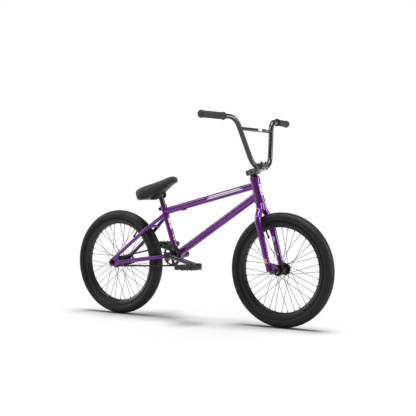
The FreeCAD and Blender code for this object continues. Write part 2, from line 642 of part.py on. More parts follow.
def front_wheel():
    c = FRONT
    rim_and_tyre(c, "front", -25)
    spokes(c, "front", 21.5, (-33.0, 33.0))
    shell = cyl(c - SIDE * 48.5, c + SIDE * 48.5, 14.0)
    for side, off in ((1, 0), (-1, 10)):
        shell = shell.fuse([flange(c, side * 33, 24.6, 21.5, off),
                            cyl(c + SIDE * (side * 37), c + SIDE * (side * 48.5), 16.5)])
    shell = shell.cut(cyl(c - SIDE * 60, c + SIDE * 60, 7.0))
    for side in (-1, 1):
        shell = shell.cut(cyl(c + SIDE * (side * 40), c + SIDE * (side * 50), 13.0))
    add("front_hub", shell.removeSplitter())
    bearings_at = [(c + SIDE * (s * 40.1), c + SIDE * (s * 48.1)) for s in (-1, 1)]
    add("front_hub_bearings", *[ring(a, b, 12.98, 4.75 + RUN) for a, b in bearings_at])
    outer = FORK_DROPOUT_IN + DROPOUT_THICK
    nut_end = outer + 9.5
    axle = cyl(c - SIDE * nut_end, c + SIDE * nut_end, 4.75)
    axle = axle.fuse(cyl(c - SIDE * (nut_end + AXLE_STUB), c + SIDE * (nut_end + AXLE_STUB), 4.5))
    for s in (-1, 1):
        axle = axle.fuse(cyl(c + SIDE * (s * 48.5), c + SIDE * (s * FORK_DROPOUT_IN), 8.0))
    add("front_axle", axle.removeSplitter())
    nuts = []
    for s in (-1, 1):
        washer = ring(c + SIDE * (s * (outer + 0.02)), c + SIDE * (s * (outer + 1.8)), 10.0, 4.9)
        nut = hex_prism(c + SIDE * (s * (outer + 1.82)), c + SIDE * (s * nut_end), 15.0)
        nuts += [washer, nut.cut(cyl(c - SIDE * 90, c + SIDE * 90, 4.77))]
    add("front_axle_nuts", *nuts)


def rear_wheel():
    c = REAR
    rim_and_tyre(c, "rear", 35)
    spokes(c, "rear", 25.0, (-28.0, 34.0))
    shell = cyl(c - SIDE * 30.6, c + SIDE * 46.0, 18.0)
    shell = shell.fuse([flange(c, 34, 28.0, 25.0, 0), flange(c, -28, 28.0, 25.0, 10),
                        cyl(c - SIDE * 25, c - SIDE * 6, 21.0), cyl(c + SIDE * 38, c + SIDE * 46, 19.5)])
    shell = shell.cut([cyl(c - SIDE * 60, c + SIDE * 60, 9.0),
                       cyl(c - SIDE * 40, c - SIDE * 21, 14.0), cyl(c + SIDE * 36, c + SIDE * 50, 14.0)])
    add("rear_hub", shell.removeSplitter())
    add("rear_hub_bearings",
        ring(c - SIDE * 30.3, c - SIDE * 21.1, 13.98, 7.0 + RUN),
        ring(c + SIDE * 36.1, c + SIDE * 45.6, 13.98, 7.0 + RUN))
    outer = REAR_DROPOUT_IN + DROPOUT_THICK
    nut_end = outer + 10.5
    axle = cyl(c - SIDE * nut_end, c + SIDE * nut_end, 7.0)
    axle = axle.fuse([cyl(c - SIDE * (nut_end + AXLE_STUB), c + SIDE * (nut_end + AXLE_STUB), 6.8),
                      cyl(c - SIDE * REAR_DROPOUT_IN, c - SIDE * 49.6, 10.5),
                      cyl(c + SIDE * 46.0, c + SIDE * REAR_DROPOUT_IN, 10.5)])
    add("rear_axle", axle.removeSplitter())
    nuts = []
    for s in (-1, 1):
        washer = ring(c + SIDE * (s * (outer + 0.02)), c + SIDE * (s * (outer + 2.0)), 13.0, 7.1)
        nut = hex_prism(c + SIDE * (s * (outer + 2.02)), c + SIDE * (s * nut_end), 19.0)
        nuts += [washer, nut.cut(cyl(c - SIDE * 90, c + SIDE * 90, 7.02))]
    add("rear_axle_nuts", *nuts)


# ---------------------------------------------------------------- fork and stem
def fork():
    """Steerer, crown race, and two bent legs that end in forward dropouts."""
    top = steer_point(STEM_HIGH - 2.0)
    base = HEAD_LOW - STEER_UP * 36
    steerer = cyl(HEAD_LOW - STEER_UP * 4, top, STEERER_R)
    stub = cone(base, HEAD_LOW - STEER_UP * 4, 15.5, 17.0)
    hollow = cyl(base - STEER_UP, top + STEER_UP, 11.5)
    steerer = steerer.fuse(stub).cut(hollow).removeSplitter()
    add("steerer_tube", steerer)
    race = cone(HEAD_LOW - STEER_UP * 3.95, HEAD_LOW + STEER_UP * 0.6, 20.4, 18.6)
    add("crown_race", race.cut(cyl(HEAD_LOW - STEER_UP * 9, HEAD_HIGH, STEERER_R + 0.01)))
    for side, label in ((-1, "right"), (1, "left")):
        def down(s, y):
            return HEAD_LOW - STEER_UP * s + SIDE * (side * y)

        def straight(s):
            return down(s, 57.0 + (s - 80) / 233)

        points = [down(5, 14.5), down(31, 18.0), down(80, 57.0), straight(FORK_TAPER_FROM)]
        leg = swept_rod(points, [40, 50], FORK_LEG_R)
        leg = leg.fuse(cone(points[-1], straight(313), FORK_LEG_R, FORK_LEG_LOW_R))
        core = swept_rod(points, [40, 50], FORK_LEG_R - 1.6)
        leg = leg.cut([core, cone(points[-1], straight(307), FORK_LEG_R - 1.6, FORK_LEG_LOW_R - 1.5)])
        y0 = FORK_DROPOUT_IN if side > 0 else -FORK_DROPOUT_IN - DROPOUT_THICK
        corners = [(268, 5), (278, 13), (290, 33), (303, 44.5), (317, 44), (326, 33), (328, 18), (318, -4),
                   (300, -6), (272, -5)]
        corners = [HEAD_LOW - STEER_UP * s + STEER_FWD * ahead for s, ahead in corners]
        outline = [(p.x, p.z) for p in corners]
        tip = plate(outline, y0, DROPOUT_THICK)
        edges = [e for e in tip.Edges if abs(e.tangentAt(e.FirstParameter).y) > 0.99]
        tip = tip.makeFillet(4.0, edges)
        slot_dir = (STEER_UP * -0.94 + STEER_FWD * -0.1).normalize()
        slot_wide = SIDE.cross(slot_dir)
        middle = FRONT + slot_dir * 20 + SIDE * (y0 + DROPOUT_THICK / 2)
        slot = box_at(middle, slot_wide, SIDE, slot_dir, (9.8, 20, 40))
        seat = cyl(FRONT + SIDE * (y0 - 5), FRONT + SIDE * (y0 + 12), 4.9)
        leg = leg.fuse(tip).cut([slot, seat])
        other_side = HEAD_LOW - STEER_UP * 100 - SIDE * (side * 60)
        half_space = box_at(other_side, STEER_FWD, SIDE, STEER_UP, (200, 120, 400))
        crown_cut = cyl(HEAD_LOW - STEER_UP * 4.0, HEAD_LOW + STEER_UP * 30, 40)
        leg = leg.cut([stub, half_space, crown_cut])
        add(f"fork_leg_{label}", max(leg.Solids, key=lambda s: s.Volume))


def headset_top():
    cover_low, cover_high = steer_point(0.5), steer_point(9.0)
    bore = STEERER_R + 0.02
    cover = cone(cover_low, cover_high, 22.5, 18.0).cut(cyl(*longer(cover_low, cover_high, 2), bore))
    add("headset_covers", cover, ring(steer_point(9.05), steer_point(STEM_LOW - 0.05), 17.0, bore))


def stem():
    """A top-load stem: a body clamped on the steerer, and a cap that holds the bar from above."""
    low, high = STEM_LOW, STEM_HIGH
    split = BAR_STACK + 0.6
    half_w = 24.5
    side_view = [(-20, low), (12, low), (30, low + 5), (62, BAR_STACK - 14), (67, BAR_STACK - 6), (67, split),
                 (26, split), (21, high), (-20, high), (-23.5, high - 4), (-23.5, low + 4)]
    face = polygon_face([steer_point(w, u, -half_w) for u, w in side_view])
    body = face.extrude(SIDE * (2 * half_w))
    bar_centre = steer_point(BAR_STACK, BAR_REACH)
    bar_bore = cyl(bar_centre - SIDE * 40, bar_centre + SIDE * 40, BAR_R + 0.06)
    body = body.cut([cyl(steer_point(low - 5), steer_point(high + 5), STEERER_R + 0.03),
                     bar_bore,
                     box_at(steer_point((low + high) / 2, -26), STEER_FWD, SIDE, STEER_UP, (26, 2.2, 60))])
    body = body.cut(box_at(steer_point(split, 26), STEER_FWD, SIDE, STEER_UP, (13, 20, 60)))
    for side in (-1, 1):
        relief = box_at(steer_point(low, 37, side * half_w), STEER_FWD, SIDE, STEER_UP, (26, 9, 26))
        pocket = box_at(steer_point(28.5, 11, side * half_w), STEER_FWD, SIDE, STEER_UP, (21, 10, 12))
        rounded = [e for e in pocket.Edges if abs(e.tangentAt(e.FirstParameter).y) > 0.99]
        body = body.cut([relief, pocket.makeFillet(4.0, rounded)])
    bolts = []
    spots = [(BAR_REACH + du, side * 18.0) for du in (-15.4, 15.4) for side in (-1, 1)]
    for u, y in spots:
        body = body.cut(cyl(steer_point(BAR_STACK - 22, u, y), steer_point(split + 2, u, y), 3.05))
    for w in (low + 6.5, high - 6.5):
        a, b = steer_point(w, -19.3, -30), steer_point(w, -19.3, 30)
        body = body.cut([cyl(a, b, 3.05), cyl(a, steer_point(w, -19.3, -half_w + 6), 5.3)])
        bolts.append(cap_screw(steer_point(w, -19.3, -half_w + 5.95), SIDE, 3.0, 26.0, 4.9, 5.5, 5.0))
    add("stem_body", max(body.removeSplitter().Solids, key=lambda s: s.Volume))

    cap_low = split + 1.0
    cap_top = BAR_STACK + 17.5
    cap_view = [(BAR_REACH - 21, cap_low), (BAR_REACH + 21, cap_low), (BAR_REACH + 21, cap_low + 9),
                (BAR_REACH + 11, cap_top), (BAR_REACH - 11, cap_top), (BAR_REACH - 21, cap_low + 9)]
    cap = polygon_face([steer_point(w, u, -half_w) for u, w in cap_view]).extrude(SIDE * (2 * half_w))
    cap = cap.cut(bar_bore)
    seat_w = cap_top - 1.5
    for u, y in spots:
        cap = cap.cut([cyl(steer_point(cap_low - 2, u, y), steer_point(cap_low + 30, u, y), 3.05),
                       cyl(steer_point(seat_w, u, y), steer_point(seat_w + 30, u, y), 5.4)])
        bolts.append(cap_screw(steer_point(seat_w + 0.02, u, y), STEER_UP * -1, 3.0, 32.0, 4.9, 5.2, 5.0))
    add("stem_cap", max(cap.removeSplitter().Solids, key=lambda s: s.Volume))
    add("stem_bolts", *bolts)
    cap_disc = cyl(steer_point(high + 0.02), steer_point(high + 3.5), 16.5)
    plug = cyl(steer_point(high - 12), steer_point(high + 0.05), 11.3)
    socket = hex_prism(steer_point(high + 1.0), steer_point(high + 6), 6.0)
    add("steerer_cap", cap_disc.fuse(plug).removeSplitter().cut(socket))


# ---------------------------------------------------------------- handlebar
def handlebar():
    centre = steer_point(BAR_STACK, BAR_REACH)
    upright_back, upright_out = 39.5, 155.4
    grip_back, grip_out, grip_up = 80.1, 367.0, 2.0
    foot_out = 71.0

    def bar_point(back, y, up):
        return centre + Vector(-back, y, up)

    def half(side):
        return [bar_point(0, side * foot_out, 0), bar_point(upright_back, side * upright_out, BAR_RISE),
                bar_point(grip_back, side * grip_out, BAR_RISE + grip_up)]

    right, left = half(-1), half(1)
    points = [*reversed(right), *left]
    radii = [62, 67, 67, 62]
    add("handlebar_tube", swept_tube(points, radii, BAR_R, BAR_R - 1.6))
    share = 0.775
    level = [p[0] + (p[1] - p[0]) * share for p in (right, left)]
    cores = swept_rod(points, radii, BAR_R)
    bar = cyl(level[0], level[1], 8.0).cut(cores)
    add("handlebar_crossbar", max(bar.Solids, key=lambda s: s.Volume))
    for side, pts, label in ((-1, right, "right"), (1, left, "left")):
        out = (pts[2] - pts[1]).normalize()
        tip = pts[2]
        start = tip - out * 140
        inner = cyl(*longer(start, tip, 5), BAR_R + 0.02)
        grip = cyl(start, tip, 15.2)
        grip = grip.fuse([cyl(start, start + out * 4, 17.8), cyl(tip - out * 9, tip, 17.4)])
        add(f"grip_{label}", grip.cut(inner).removeSplitter())
    plugs = []
    for pts in (right, left):
        out = (pts[2] - pts[1]).normalize()
        tip = pts[2]
        plug = cyl(tip - out * 14, tip + out * 0.2, BAR_R - 1.62)
        dome = cone(tip + out * 0.05, tip + out * 4.5, 17.2, 13.5)
        plugs.append(plug.fuse(dome).removeSplitter())
    add("bar_end_plugs", *plugs)


# ---------------------------------------------------------------- seat post and saddle
POST_TOP_Z = 586.0
PIVOT = seat_at(POST_TOP_Z)
TILT = math.radians(SADDLE_TILT)
SADDLE_FWD = Vector(math.cos(TILT), 0, math.sin(TILT))
SADDLE_UP = Vector(-math.sin(TILT), 0, math.cos(TILT))


def saddle_point(forward, y, up):
    return PIVOT + SADDLE_FWD * forward + SIDE * y + SADDLE_UP * up


def seat_post():
    bottom = PIVOT - SEAT_UP * 205
    post = cyl(bottom, PIVOT - SEAT_UP * 8, POST_R)
    post = post.cut(cyl(bottom - SEAT_UP, PIVOT - SEAT_UP * 24, POST_R - 2.2))
    head = cyl(PIVOT - SIDE * 15, PIVOT + SIDE * 15, 13.5)
    post = post.fuse(head).cut(cyl(PIVOT - SIDE * 30, PIVOT + SIDE * 30, 4.05))
    add("seat_post", post.removeSplitter())


def saddle_section(s, half, top, bottom):
    """One closed cross-section of the saddle at distance s ahead of its pivot."""
    d = top - bottom
    side = [(0, top), (half * 0.45, top - d * 0.05), (half * 0.82, top - d * 0.2), (half, top - d * 0.5),
            (half * 0.97, top - d * 0.82), (half * 0.72, bottom), (0, bottom + d * 0.04)]
    loop = side + [(-y, z) for y, z in reversed(side[1:-1])]
    curve = Part.BSplineCurve()
    curve.interpolate([saddle_point(s, y, z) for y, z in loop], PeriodicFlag=True)
    return Part.Wire(curve.toShape())


def saddle():
    """The padded cover and the moulded base, whose two cheeks straddle the post's round head."""
    stations = [  # ahead of the pivot, half width, top, lower edge
        (-113, 36, 59, 25), (-105, 54, 66, 14), (-82, 67, 69, 4), (-45, 61, 68.5, 0), (-10, 42, 67, 4),
        (25, 30, 66, 11), (60, 25, 65.5, 21), (90, 23.5, 64, 28), (107, 20, 58, 30), (115, 12, 50, 34)]
    outer = Part.makeLoft([saddle_section(*row) for row in stations], True, False)
    under = [(s, half - 5, low + 14, low - 2.5) for s, half, _, low in stations[1:-1]]
    plate_solid = Part.makeLoft([saddle_section(*row) for row in under], True, False)
    cheek_half = 24.0
    cradle = cyl(PIVOT - SIDE * cheek_half, PIVOT + SIDE * cheek_half, 18.5)
    cheeks = box_at(PIVOT + SADDLE_UP * 9, SADDLE_FWD, SIDE, SADDLE_UP, (37, 2 * cheek_half, 20))
    ribs = []
    for f in (-44, -36, -28, -20):
        middle = PIVOT + SADDLE_UP * 2 + SADDLE_FWD * f
        ribs.append(box_at(middle, SADDLE_FWD, SIDE, SADDLE_UP, (2.4, 60 - 0.4 * abs(f), 24)))
    tie = box_at(PIVOT + SADDLE_UP * 8 - SADDLE_FWD * 20, SADDLE_FWD, SIDE, SADDLE_UP, (58, 34, 16))
    shell = plate_solid.fuse([cradle, cheeks, tie, *ribs])
    room = [cyl(PIVOT - SIDE * 15.4, PIVOT + SIDE * 15.4, 14.0),
            box_at(PIVOT - SADDLE_UP * 32, SADDLE_FWD, SIDE, SADDLE_UP, (60, 30.8, 60))]
    bore = cyl(PIVOT - SIDE * 60, PIVOT + SIDE * 60, 4.1)
    head_room = [cyl(PIVOT + SIDE * a, PIVOT + SIDE * b, 7.3) for a, b in ((-60, -20), (22, 60))]
    shell = max(shell.cut([*room, bore, *head_room]).Solids, key=lambda s: s.Volume)
    pad = outer.cut([plate_solid, cradle, cheeks, tie, *ribs, *room, bore, *head_room])
    add("saddle_base", shell)
    add("saddle_pad", max(pad.Solids, key=lambda s: s.Volume))
    nut = hex_prism(PIVOT + SIDE * 22.05, PIVOT + SIDE * 27, 12.0).cut(cyl(PIVOT, PIVOT + SIDE * 40, 4.0))
    add("saddle_bolt", cap_screw(PIVOT - SIDE * 20.02, SIDE * 1, 4.0, 46.0, 7.0, 5.0, 6.0), nut)


def main():
    shell_solid, seat_solid = frame_tubes()
    stays(shell_solid, seat_solid)
    chain_tensioners()
    bearings()
    chain()
    sprocket()
    driver()
    crankset()
    add("pedal_right", pedal(-1))
    add("pedal_left", pedal(1))
    front_wheel()
    rear_wheel()
    fork()
    headset_top()
    stem()
    handlebar()
    seat_post()
    saddle()
    os.makedirs("parts", exist_ok=True)
    for name, solids in nodes.items():
        shape = solids[0] if len(solids) == 1 else Part.makeCompound(solids)
        shape.exportStep(f"parts/{name}.step")
        bad = [s for s in solids if not s.isValid() or s.Volume <= 0]
        print(f"{name}: {len(solids)} solids, {shape.Volume:.0f} mm3, {len(bad)} bad")
    print(len(nodes), "nodes")


main()
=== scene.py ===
import json
import math

import bmesh
import bpy
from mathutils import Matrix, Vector, noise
from mathutils.bvhtree import BVHTree
from mathutils.kdtree import KDTree


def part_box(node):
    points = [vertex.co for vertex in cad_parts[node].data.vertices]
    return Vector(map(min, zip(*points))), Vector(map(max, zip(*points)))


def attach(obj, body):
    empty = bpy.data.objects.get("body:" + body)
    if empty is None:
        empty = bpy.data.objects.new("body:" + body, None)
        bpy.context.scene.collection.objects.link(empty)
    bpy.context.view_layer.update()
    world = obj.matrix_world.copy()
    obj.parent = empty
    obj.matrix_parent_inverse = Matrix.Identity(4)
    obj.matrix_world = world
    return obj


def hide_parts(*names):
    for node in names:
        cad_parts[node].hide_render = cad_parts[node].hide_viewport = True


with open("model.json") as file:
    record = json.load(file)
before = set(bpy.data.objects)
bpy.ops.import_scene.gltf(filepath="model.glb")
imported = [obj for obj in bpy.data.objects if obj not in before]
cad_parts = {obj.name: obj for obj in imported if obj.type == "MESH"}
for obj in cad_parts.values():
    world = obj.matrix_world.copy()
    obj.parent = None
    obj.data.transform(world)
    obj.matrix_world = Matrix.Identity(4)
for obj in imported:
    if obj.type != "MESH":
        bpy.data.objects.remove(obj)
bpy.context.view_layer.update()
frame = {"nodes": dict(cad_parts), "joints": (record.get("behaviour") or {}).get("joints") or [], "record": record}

NODES = frame["nodes"]
JOINTS = {j["name"]: j for j in frame["joints"]}


def joint_pos(name):
    return Vector(JOINTS[name]["pos_m"])


def joint_axis(name):
    return Vector(JOINTS[name]["axis"]).normalized()


SIDE = Vector((0, 1, 0))
REAR = joint_pos("rear_wheel_spin")
FRONT = joint_pos("front_wheel_spin")
BB = joint_pos("crank_spin")
HEAD_LOW = joint_pos("steering")
STEER_UP = joint_axis("steering")
SEAT_UP = joint_axis("seat_height")
PIVOT = joint_pos("saddle_tilt")
BAR = joint_pos("handlebar_tilt")
TYRE_R = (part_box("front_tyre")[1][2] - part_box("front_tyre")[0][2]) / 2

# the frame tubes' outer radii and the heights where their axes meet
HEAD_R, TOP_R, DOWN_R, SEAT_R = 0.022, 0.0159, 0.0175, 0.0143
SHELL_R, CHAINSTAY_R, SEATSTAY_R, LEG_R, BAR_R = 0.0238, 0.0095, 0.0085, 0.0146, 0.0111
TOP_REAR_Z, TOP_FRONT_Z, DOWN_FRONT_Z = 0.506, 0.630, 0.588


def on_axis(point, direction, z):
    """The point of an axis at height z."""
    return point + direction * ((z - point.z) / direction.z)


TOP_REAR = on_axis(BB, SEAT_UP, TOP_REAR_Z)
TOP_FRONT = on_axis(HEAD_LOW, STEER_UP, TOP_FRONT_Z)
DOWN_FRONT = on_axis(HEAD_LOW, STEER_UP, DOWN_FRONT_Z)


# ---------------------------------------------------------------- materials
class Nodes:
    """A small helper round one material's node tree."""

    def __init__(self, name):
        self.mat = bpy.data.materials.new(name)
        self.mat.use_nodes = True
        self.tree = self.mat.node_tree
        self.bsdf = self.tree.nodes["Principled BSDF"]
        self.coords = self.add("ShaderNodeTexCoord").outputs["Object"]

    def add(self, kind, **inputs):
        node = self.tree.nodes.new(kind)
        for key, value in inputs.items():
            node.inputs[key.replace("_", " ")].default_value = value
        return node

    def link(self, a, b):
        self.tree.links.new(a, b)

    def noise(self, scale, detail=3.0, roughness=0.55):
        node = self.add("ShaderNodeTexNoise", Scale=scale, Detail=detail, Roughness=roughness)
        self.link(self.coords, node.inputs["Vector"])
        return node.outputs["Fac"]

    def ramp(self, source, stops):
        node = self.add("ShaderNodeValToRGB")
        ramp = node.color_ramp
        ramp.elements[0].position, ramp.elements[0].color = stops[0][0], (*stops[0][1], 1)
        ramp.elements[1].position, ramp.elements[1].color = stops[-1][0], (*stops[-1][1], 1)
        for position, colour in stops[1:-1]:
            ramp.elements.new(position).color = (*colour, 1)
        self.link(source, node.inputs["Fac"])
        return node.outputs["Color"]

    def spread(self, source, low, high, source_low=0.3, source_high=0.7):
        node = self.add("ShaderNodeMapRange")
        values = (source_low, source_high, low, high)
        for key, value in zip(("From Min", "From Max", "To Min", "To Max"), values):
            node.inputs[key].default_value = value
        self.link(source, node.inputs["Value"])
        return node.outputs["Result"]

    def mix(self, a, b, fac):
        node = self.add("ShaderNodeMix")
        node.data_type = "RGBA"
        for value, key in ((fac, 0), (a, 6), (b, 7)):
            if isinstance(value, (int, float)):
                node.inputs[key].default_value = value
            elif isinstance(value, tuple):
                node.inputs[key].default_value = (*value, 1)
            else:
                self.link(value, node.inputs[key])
        return node.outputs[2]

    def larger(self, a, b):
        node = self.add("ShaderNodeMath")
        node.operation = "MAXIMUM"
        self.link(a, node.inputs[0])
        self.link(b, node.inputs[1])
        return node.outputs[0]

    def bump(self, source, strength, distance):
        node = self.add("ShaderNodeBump", Strength=strength, Distance=distance)
        self.link(source, node.inputs["Height"])
        self.link(node.outputs["Normal"], self.bsdf.inputs["Normal"])

    def finish(self, colour, roughness, **values):
        self.link(colour, self.bsdf.inputs["Base Color"])
        self.link(roughness, self.bsdf.inputs["Roughness"])
        for key, value in values.items():
            self.bsdf.inputs[key.replace("_", " ")].default_value = value
        return self.mat


def candy_paint():
    """Metallic paint under a clear coat: fine flakes, slow shifts in depth and a little orange peel."""
    m = Nodes("purple_candy_paint")
    flakes = m.add("ShaderNodeTexVoronoi", Scale=1400.0)
    m.link(m.coords, flakes.inputs["Vector"])
    slow = m.noise(9.0, 2.0)
    base = m.ramp(slow, [(0.3, (0.105, 0.006, 0.170)), (0.7, (0.150, 0.010, 0.235))])
    flake = m.ramp(flakes.outputs["Color"],
                   [(0.0, (0.05, 0.003, 0.09)), (0.6, (0.15, 0.014, 0.24)), (1.0, (0.42, 0.09, 0.57))])
    colour = m.mix(base, flake, 0.45)
    m.bump(m.noise(260.0, 2.0), 0.05, 0.0004)
    return m.finish(colour, m.spread(m.noise(40.0), 0.28, 0.36), Metallic=0.68, Coat_Weight=0.75,
                    Coat_Roughness=0.09, Coat_IOR=1.5)


def coated_black(name, tone, rough, metallic, coat, bump=0.06):
    """A black or grey coating, slightly cloudy, with a fine orange peel."""
    m = Nodes(name)
    cloud = m.noise(55.0, 5.0)
    colour = m.ramp(cloud, [(0.3, (tone * 0.75,) * 3), (0.7, (tone * 1.35, tone * 1.35, tone * 1.4))])
    m.bump(m.noise(700.0, 3.0), bump, 0.0003)
    return m.finish(colour, m.spread(m.noise(90.0, 4.0), *rough), Metallic=metallic, Coat_Weight=coat,
                    Coat_Roughness=0.16)


def metal(name, dark, light, rough, scale=120.0):
    """Bare or oxidised metal with worn patches of two tones."""
    m = Nodes(name)
    colour = m.ramp(m.noise(scale, 6.0, 0.65), [(0.32, dark), (0.68, light)])
    m.bump(m.noise(scale * 7, 2.0), 0.08, 0.0002)
    return m.finish(colour, m.spread(m.noise(scale * 1.7, 4.0), *rough), Metallic=1.0)


def rubber(name, dark, light, rough, grain=420.0, bump=0.25):
    """Moulded rubber with a fine grain and a light bloom of dust."""
    m = Nodes(name)
    bloom = m.noise(14.0, 5.0, 0.6)
    speck = m.noise(grain, 4.0, 0.7)
    broad = m.ramp(bloom, [(0.32, dark), (0.72, light)])
    colour = m.mix(broad, m.ramp(speck, [(0.3, dark), (0.75, light)]), 0.4)
    m.bump(speck, bump, 0.0006)
    return m.finish(colour, m.spread(m.noise(60.0), *rough), Specular_IOR_Level=0.35)


def nylon(name):
    """Glass-filled nylon: a spark-eroded grain, slightly greyer on worn spots."""
    m = Nodes(name)
    grain = m.noise(900.0, 3.0, 0.6)
    colour = m.ramp(m.noise(45.0, 6.0), [(0.3, (0.011, 0.011, 0.012)), (0.72, (0.024, 0.024, 0.026))])
    m.bump(grain, 0.3, 0.0003)
    return m.finish(colour, m.spread(grain, 0.38, 0.55))


# the threads' planes lean, so that they cross on the cover's walls as well
THREAD_LEAN = math.radians(36)


def saddle_cover():
    """Tough woven cover: two crossed sets of fine threads, with painted shade in the gaps between them, and a
    faint sheen.
    """
    m = Nodes("saddle_woven_cover")
    threads = []
    for direction, turn in (("X", (0, THREAD_LEAN, 0)), ("Y", (-THREAD_LEAN, 0, 0))):
        leaned = m.add("ShaderNodeMapping", Rotation=turn)
        m.link(m.coords, leaned.inputs["Vector"])
        wave = m.add("ShaderNodeTexWave", Scale=260.0, Distortion=0.6, Detail=1.0, Detail_Scale=3.0)
        wave.wave_type, wave.bands_direction = "BANDS", direction
        m.link(leaned.outputs["Vector"], wave.inputs["Vector"])
        threads.append(wave.outputs["Fac"])
    weave = m.larger(*threads)
    mottled = m.noise(30.0, 6.0, 0.6)
    base = m.ramp(mottled, [(0.3, (0.022, 0.022, 0.023)), (0.72, (0.036, 0.036, 0.038))])
    # painted shade: the gaps between the threads are drawn towards near black
    colour = m.mix(base, (0.008, 0.008, 0.009), m.spread(weave, 0.6, 0.0, 0.25, 0.8))
    m.bump(weave, 0.4, 0.0005)
    return m.finish(colour, m.spread(mottled, 0.55, 0.72), Sheen_Weight=0.12, Sheen_Roughness=0.5,
                    Specular_IOR_Level=0.3)


def print_ink(name, colour):
    """Screen-printed ink: nearly even, with a slightly worn edge and a satin surface."""
    m = Nodes(name)
    worn = tuple(c * 0.72 for c in colour)
    ink = m.ramp(m.noise(180.0, 6.0, 0.7), [(0.28, worn), (0.45, colour)])
    return m.finish(ink, m.spread(m.noise(300.0), 0.3, 0.45), Coat_Weight=0.5, Coat_Roughness=0.1)


PAINT = candy_paint()
BLACK_TUBE = coated_black("satin_black_paint", 0.009, (0.20, 0.30), 0.1, 0.6)
GLOSS_BLACK = coated_black("gloss_black_paint", 0.05, (0.10, 0.16), 0.8, 1.0, 0.02)
BLACK_ALLOY = coated_black("black_anodised", 0.007, (0.34, 0.46), 0.2, 0.05)
STEM_ALLOY = coated_black("grey_anodised_blasted", 0.17, (0.22, 0.32), 0.7, 0.5, 0.10)
DARK_STEEL = metal("black_oxide_steel", (0.030, 0.030, 0.033), (0.075, 0.073, 0.072), (0.30, 0.45))
CHAIN_STEEL = metal("oiled_chain_steel", (0.022, 0.021, 0.020), (0.09, 0.088, 0.085), (0.28, 0.5), 200.0)
BEARING_STEEL = metal("bearing_steel", (0.34, 0.34, 0.35), (0.55, 0.55, 0.56), (0.16, 0.26))
SPOKE_BLACK = metal("black_spoke_steel", (0.018, 0.018, 0.020), (0.05, 0.05, 0.052), (0.28, 0.4), 300.0)
TYRE = rubber("tyre_rubber", (0.006, 0.006, 0.006), (0.014, 0.0138, 0.0135), (0.50, 0.66))
INNER = rubber("butyl_tube", (0.012, 0.012, 0.012), (0.03, 0.03, 0.03), (0.5, 0.65))
GRIP = rubber("grip_rubber", (0.018, 0.018, 0.019), (0.038, 0.038, 0.039), (0.52, 0.68), 600.0, 0.2)
NYLON = nylon("black_nylon")
COVER = saddle_cover()
THREAD = rubber("seam_thread", (0.03, 0.03, 0.032), (0.07, 0.07, 0.073), (0.6, 0.8), 1500.0, 0.3)
WHITE_INK = print_ink("white_print", (0.80, 0.79, 0.81))
YELLOW_INK = print_ink("yellow_print", (0.78, 0.50, 0.05))
GREY_INK = print_ink("grey_print", (0.20, 0.19, 0.13))
ORANGE_INK = print_ink("orange_print", (0.42, 0.17, 0.05))

FINISH = {"purple_paint": PAINT, "bearing_steel": BEARING_STEEL, "dark_steel": DARK_STEEL,
          "chain_steel": CHAIN_STEEL, "black_tube_paint": BLACK_TUBE, "black_aluminium": BLACK_ALLOY,
          "black_spoke": SPOKE_BLACK, "tyre_rubber": TYRE, "inner_rubber": INNER, "grip_rubber": GRIP,
          "black_plastic": NYLON, "saddle_fabric": COVER}
for part in frame["record"]["subparts"]:
    shown = NODES[part["node"]]
    finish = FINISH[part["material_slot"]]
    if part["node"] in ("stem_body", "stem_cap"):
        finish = STEM_ALLOY
    if part["node"].startswith("crank_arm"):
        finish = GLOSS_BLACK
    shown.data.materials.clear()
    shown.data.materials.append(finish)


# ---------------------------------------------------------------- mesh helpers
def make(name, verts, faces, mat, body, angle=None):
    """A mesh piece that rides on a body, with the material mat."""
    mesh = bpy.data.meshes.new(name)
    mesh.from_pydata([tuple(v) for v in verts], [], faces)
    mesh.validate()
    mesh.update()
    work = bmesh.new()
    work.from_mesh(mesh)
    bmesh.ops.recalc_face_normals(work, faces=work.faces)
    work.to_mesh(mesh)
    work.free()
    obj = bpy.data.objects.new(name, mesh)
    bpy.context.scene.collection.objects.link(obj)
    mesh.materials.append(mat)
    for poly in mesh.polygons:
        poly.use_smooth = True
    if angle is not None:
        mesh.set_sharp_from_angle(angle=math.radians(angle))
    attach(obj, body)
    return obj


def grid(rows, columns, wrap_rows, wrap_columns, offset=0):
    """The quads of a grid of vertices stored row by row."""
    faces = []
    for i in range(rows if wrap_rows else rows - 1):
        for j in range(columns if wrap_columns else columns - 1):
            a, b = i * columns + j, i * columns + (j + 1) % columns
            c, d = ((i + 1) % rows) * columns + (j + 1) % columns, ((i + 1) % rows) * columns + j
            faces.append(tuple(offset + k for k in (a, b, c, d)))
    return faces


def across(direction):
    """Two unit vectors square to a direction and to each other; the first lies near the middle plane."""
    d = direction.normalized()
    u = SIDE.cross(d)
    if u.length < 1e-6:
        u = Vector((1, 0, 0))
    u.normalize()
    return u, d.cross(u)


def tube_along(points, radii, closed, sides=8):
    """Vertices and faces of a round rod through points, with one radius for each point."""
    verts, count = [], len(points)
    u = None
    for i, p in enumerate(points):
        before = points[i - 1] if closed or i else p
        after = points[(i + 1) % count] if closed or i + 1 < count else p
        t = (after - before).normalized()
        if u is None:
            u = t.orthogonal().normalized()
        u = (u - t * u.dot(t)).normalized()
        v = t.cross(u)
        for k in range(sides):
            a = 2 * math.pi * k / sides
            verts.append(p + (u * math.cos(a) + v * math.sin(a)) * radii[i])
    faces = grid(count, sides, closed, True)
    if not closed:
        faces += [tuple(range(sides))[::-1], tuple((count - 1) * sides + k for k in range(sides))]
    return verts, faces


